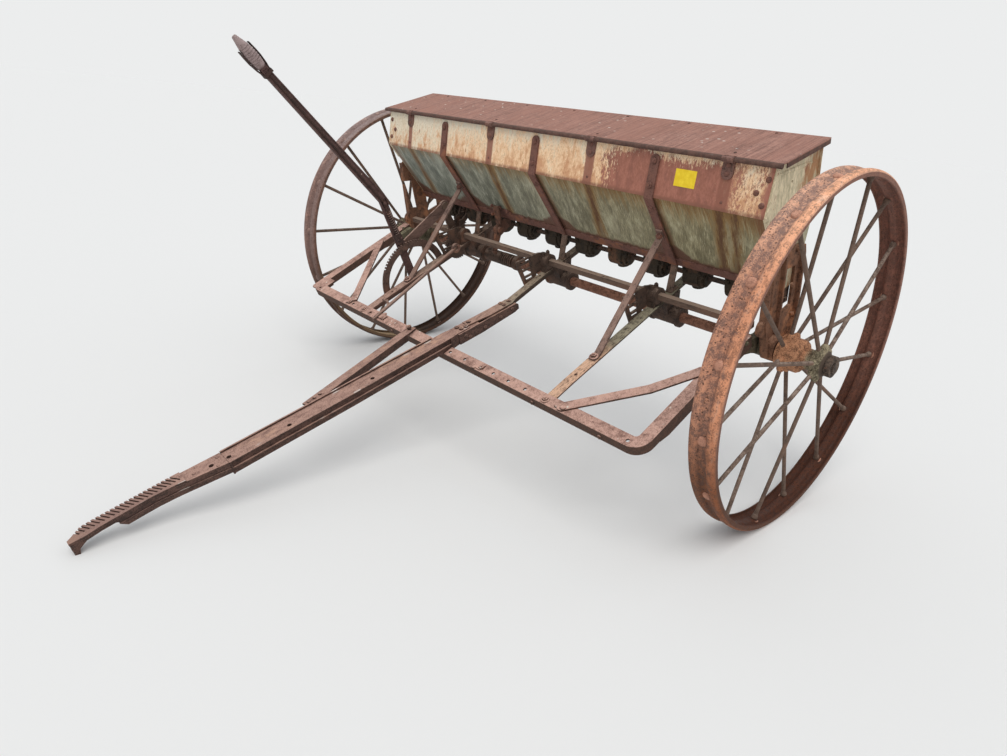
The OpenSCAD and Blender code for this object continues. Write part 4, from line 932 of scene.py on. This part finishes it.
# The latch spring: thin wire in a helix of eleven turns round the latch rod, between the latch's dog at the
# quadrant and the bend of the lever.
spring_rust = rusty("spring_rust", (0.05, 0.032, 0.026), (0.16, 0.105, 0.088), (0.3, 0.22, 0.19), 0.5)
across_bar = np.array([bar_way[2], 0, -bar_way[0]])
coils = 11
t = np.linspace(0, 1, coils * 16 + 1)
spin = t * coils * 2 * np.pi
coil = (pivot + (229 + 112 * t)[:, None] * bar_way + 8.4 * np.cos(spin)[:, None] * across_bar
        + (-583.5 + 8.4 * np.sin(spin))[:, None] * np.array([0, 1, 0]))
piece("latch_spring", *wire(coil, 1.7, bar_way), spring_rust, "lever", 80)

# Ribs round the grip, seven turned rings that grow towards its middle, so that a hand doesn't slip off the
# handle.
neck = grip_end - 128 * handle_way
ribs = [turned(neck + h * handle_way + np.array([0, -592, 0]), handle_way,
               [(r - 2, -2.6), (r + 0.9, -1.2), (r + 0.9, 1.2), (r - 2, 2.6), (r - 2, -2.6)], 40)
        for h, r in ((24, 20.8), (34, 21.5), (44, 22.0), (54, 21.8), (64, 21.5), (74, 20.4), (84, 19.0))]
piece("grip_ribs", *joined(*ribs), grip_wear, "lever", 50)

# The web of the handle between its raised edges, forged nearly flush with them, from the bend of the lever to
# the neck of the grip.
web_half = 14.6
across_handle = np.array([handle_way[2], 0, -handle_way[0]])
mitre = (across_handle + across_bar) / (1 + across_handle @ across_bar)
web_end = neck - 2 * handle_way
web = np.stack([bend + web_half * mitre, web_end + web_half * across_handle,
                web_end - web_half * across_handle, bend - web_half * mitre])
piece("lever_web", *plate(web[:, [0, 2]], (0, -586.8, 0), (1, 0, 0), (0, 0, 1), 7.2), lever_iron, "lever")

# The bolts of the lever and of its latch, of the quadrant's foot on the sill, and of the arm on the rock
# shaft.
dog = pivot + 204 * bar_way + [0, -576, 0]
piece("lever_bolts", *joined(
    turned([pivot + [0, -607.5, 0]], [0, -1, 0], nuts(14, 9), 6),
    turned([bend - 16 * bar_way + [0, -580.5, 0]], [0, 1, 0], domes(7, 4), 14),
    turned([dog + 9 * across_bar, dog - 9 * across_bar], [0, 1, 0], domes(4.5, 3)),
    turned([[380, -619, 150]], [0, -1, 0], domes(9, 4), 14)), lever_rust, "lever")
piece("quadrant_bolts", *turned(on_sill([[x, -583] for x in (214, 300, 450, 522)], -20), [0, -1, 0],
                                nuts(9.5, 8), 6), quadrant_rust)
piece("shaft_bolts", *joined(
    turned([[116, -630, 252]], [0, -1, 0], nuts(9, 7), 6),
    turned([[75, -638, 108]], [0, -1, 0], domes(8, 5), 12)), strut_rust, "rock")


# Tongue. A channel under the middle of the frame holds a beam with a lip and a recessed side, and a forged
# head with a toothed plate ends on the ground. Tops are pale and dusty with lime splashes, the sides dark and
# flaking, with painted shade in their darkness.
def tongue_iron():
    s = Finish("tongue_iron", 0.85)
    where = s.axes()
    x = s.part(where, 0)
    cloud = s.noise(s.axes((2.5, 1, 1)), 10, 4, 0.6, 0.4)
    mottle = s.noise(s.axes((2.2, 1, 1)), 52, 6, 0.72)
    grain = s.noise(where, 260, 4, 0.74)
    both = s.mixed(grain, mottle, 0.5)
    up = s.span(s.part(s.coord.outputs["Normal"], 2), 0.55, 0.92)
    # Sides: dark flaking rust with painted shade in it.
    sides = s.blend(s.span(both, 0.42, 0.58), (0.034, 0.018, 0.013), (0.115, 0.062, 0.048))
    top = s.blend(s.span(both, 0.38, 0.56), (0.19, 0.105, 0.082), (0.44, 0.27, 0.215))
    patches = s.times(s.span(cloud, 0.48, 0.62), s.span(mottle, 0.42, 0.6), 0.75)
    top = s.blend(patches, top, (0.52, 0.315, 0.215))
    top = s.over(top, (0.24, 0.145, 0.122), s.span(x, 1.7, 1.76), 0.6)
    c = s.blend(up, sides, top)
    c = s.blend(s.span(grain, 0.44, 0.31, 0, 0.6), c, (0.045, 0.024, 0.018))
    lime = s.times(s.flecks(s.axes((2.4, 1, 1)), 46, 0.34, 0.4), s.span(s.noise(where, 5, 2), 0.46, 0.56), up)
    c = s.over(c, (0.76, 0.68, 0.62), lime, s.span(x, 1.9, 1.6), 0.9)
    return s.done(c, s.span(mottle, 0.3, 0.7, 0.74, 0.95), s.bump(both, 0.003, 0.9))


tongue_mat = tongue_iron()
dress(["tongue_beam", "tongue_head", "tongue_comb", "tongue_channel", "tongue_brace"], tongue_mat)
brace_a, brace_b = np.array([1236.0, -52]), np.array([652.0, -224])
brace_end = brace_b + 20 * (brace_a - brace_b) / np.linalg.norm(brace_a - brace_b)
left_side = [[580, 32, -2], [560, 32, -14], [330, 32, 4], [396, 32, -4], [480, 32, -10]]
right_side = [[580, -32, -2], [330, -32, 4], [480, -32, -10]]
channel_top = [[318, 3, 24.3], [352, 11, 24.0], [352, -10, 24.0], [530, -4, 24.2]]
head_top = [[1590, 27, 21.6], [1576, -16, 21.6], [1660, 4, 21.6]]
piece("tongue_bolts", *joined(
    turned([[557, 12, 21.6], [580, 10, 21.6], [584, -12, 21.6]], [0, 0, 1], nuts(10, 7), 6),
    turned(channel_top, [0, 0, 1], nuts(9.5, 7), 6, 0.4),
    turned(left_side, [0, 1, 0], nuts(9, 7), 6),
    turned(right_side, [0, -1, 0], domes(9, 5), 14),
    turned([[*brace_end, -3]], front_up, nuts(11, 8), 6),
    turned([[1222, -60, 13.8], [1196, -66, 13.6], [1170, -72, 13.4]], [0, 0, 1], domes(7, 4), 12),
    turned(head_top, [0, 0, 1], domes(6.5, 3), 12)), tongue_mat)
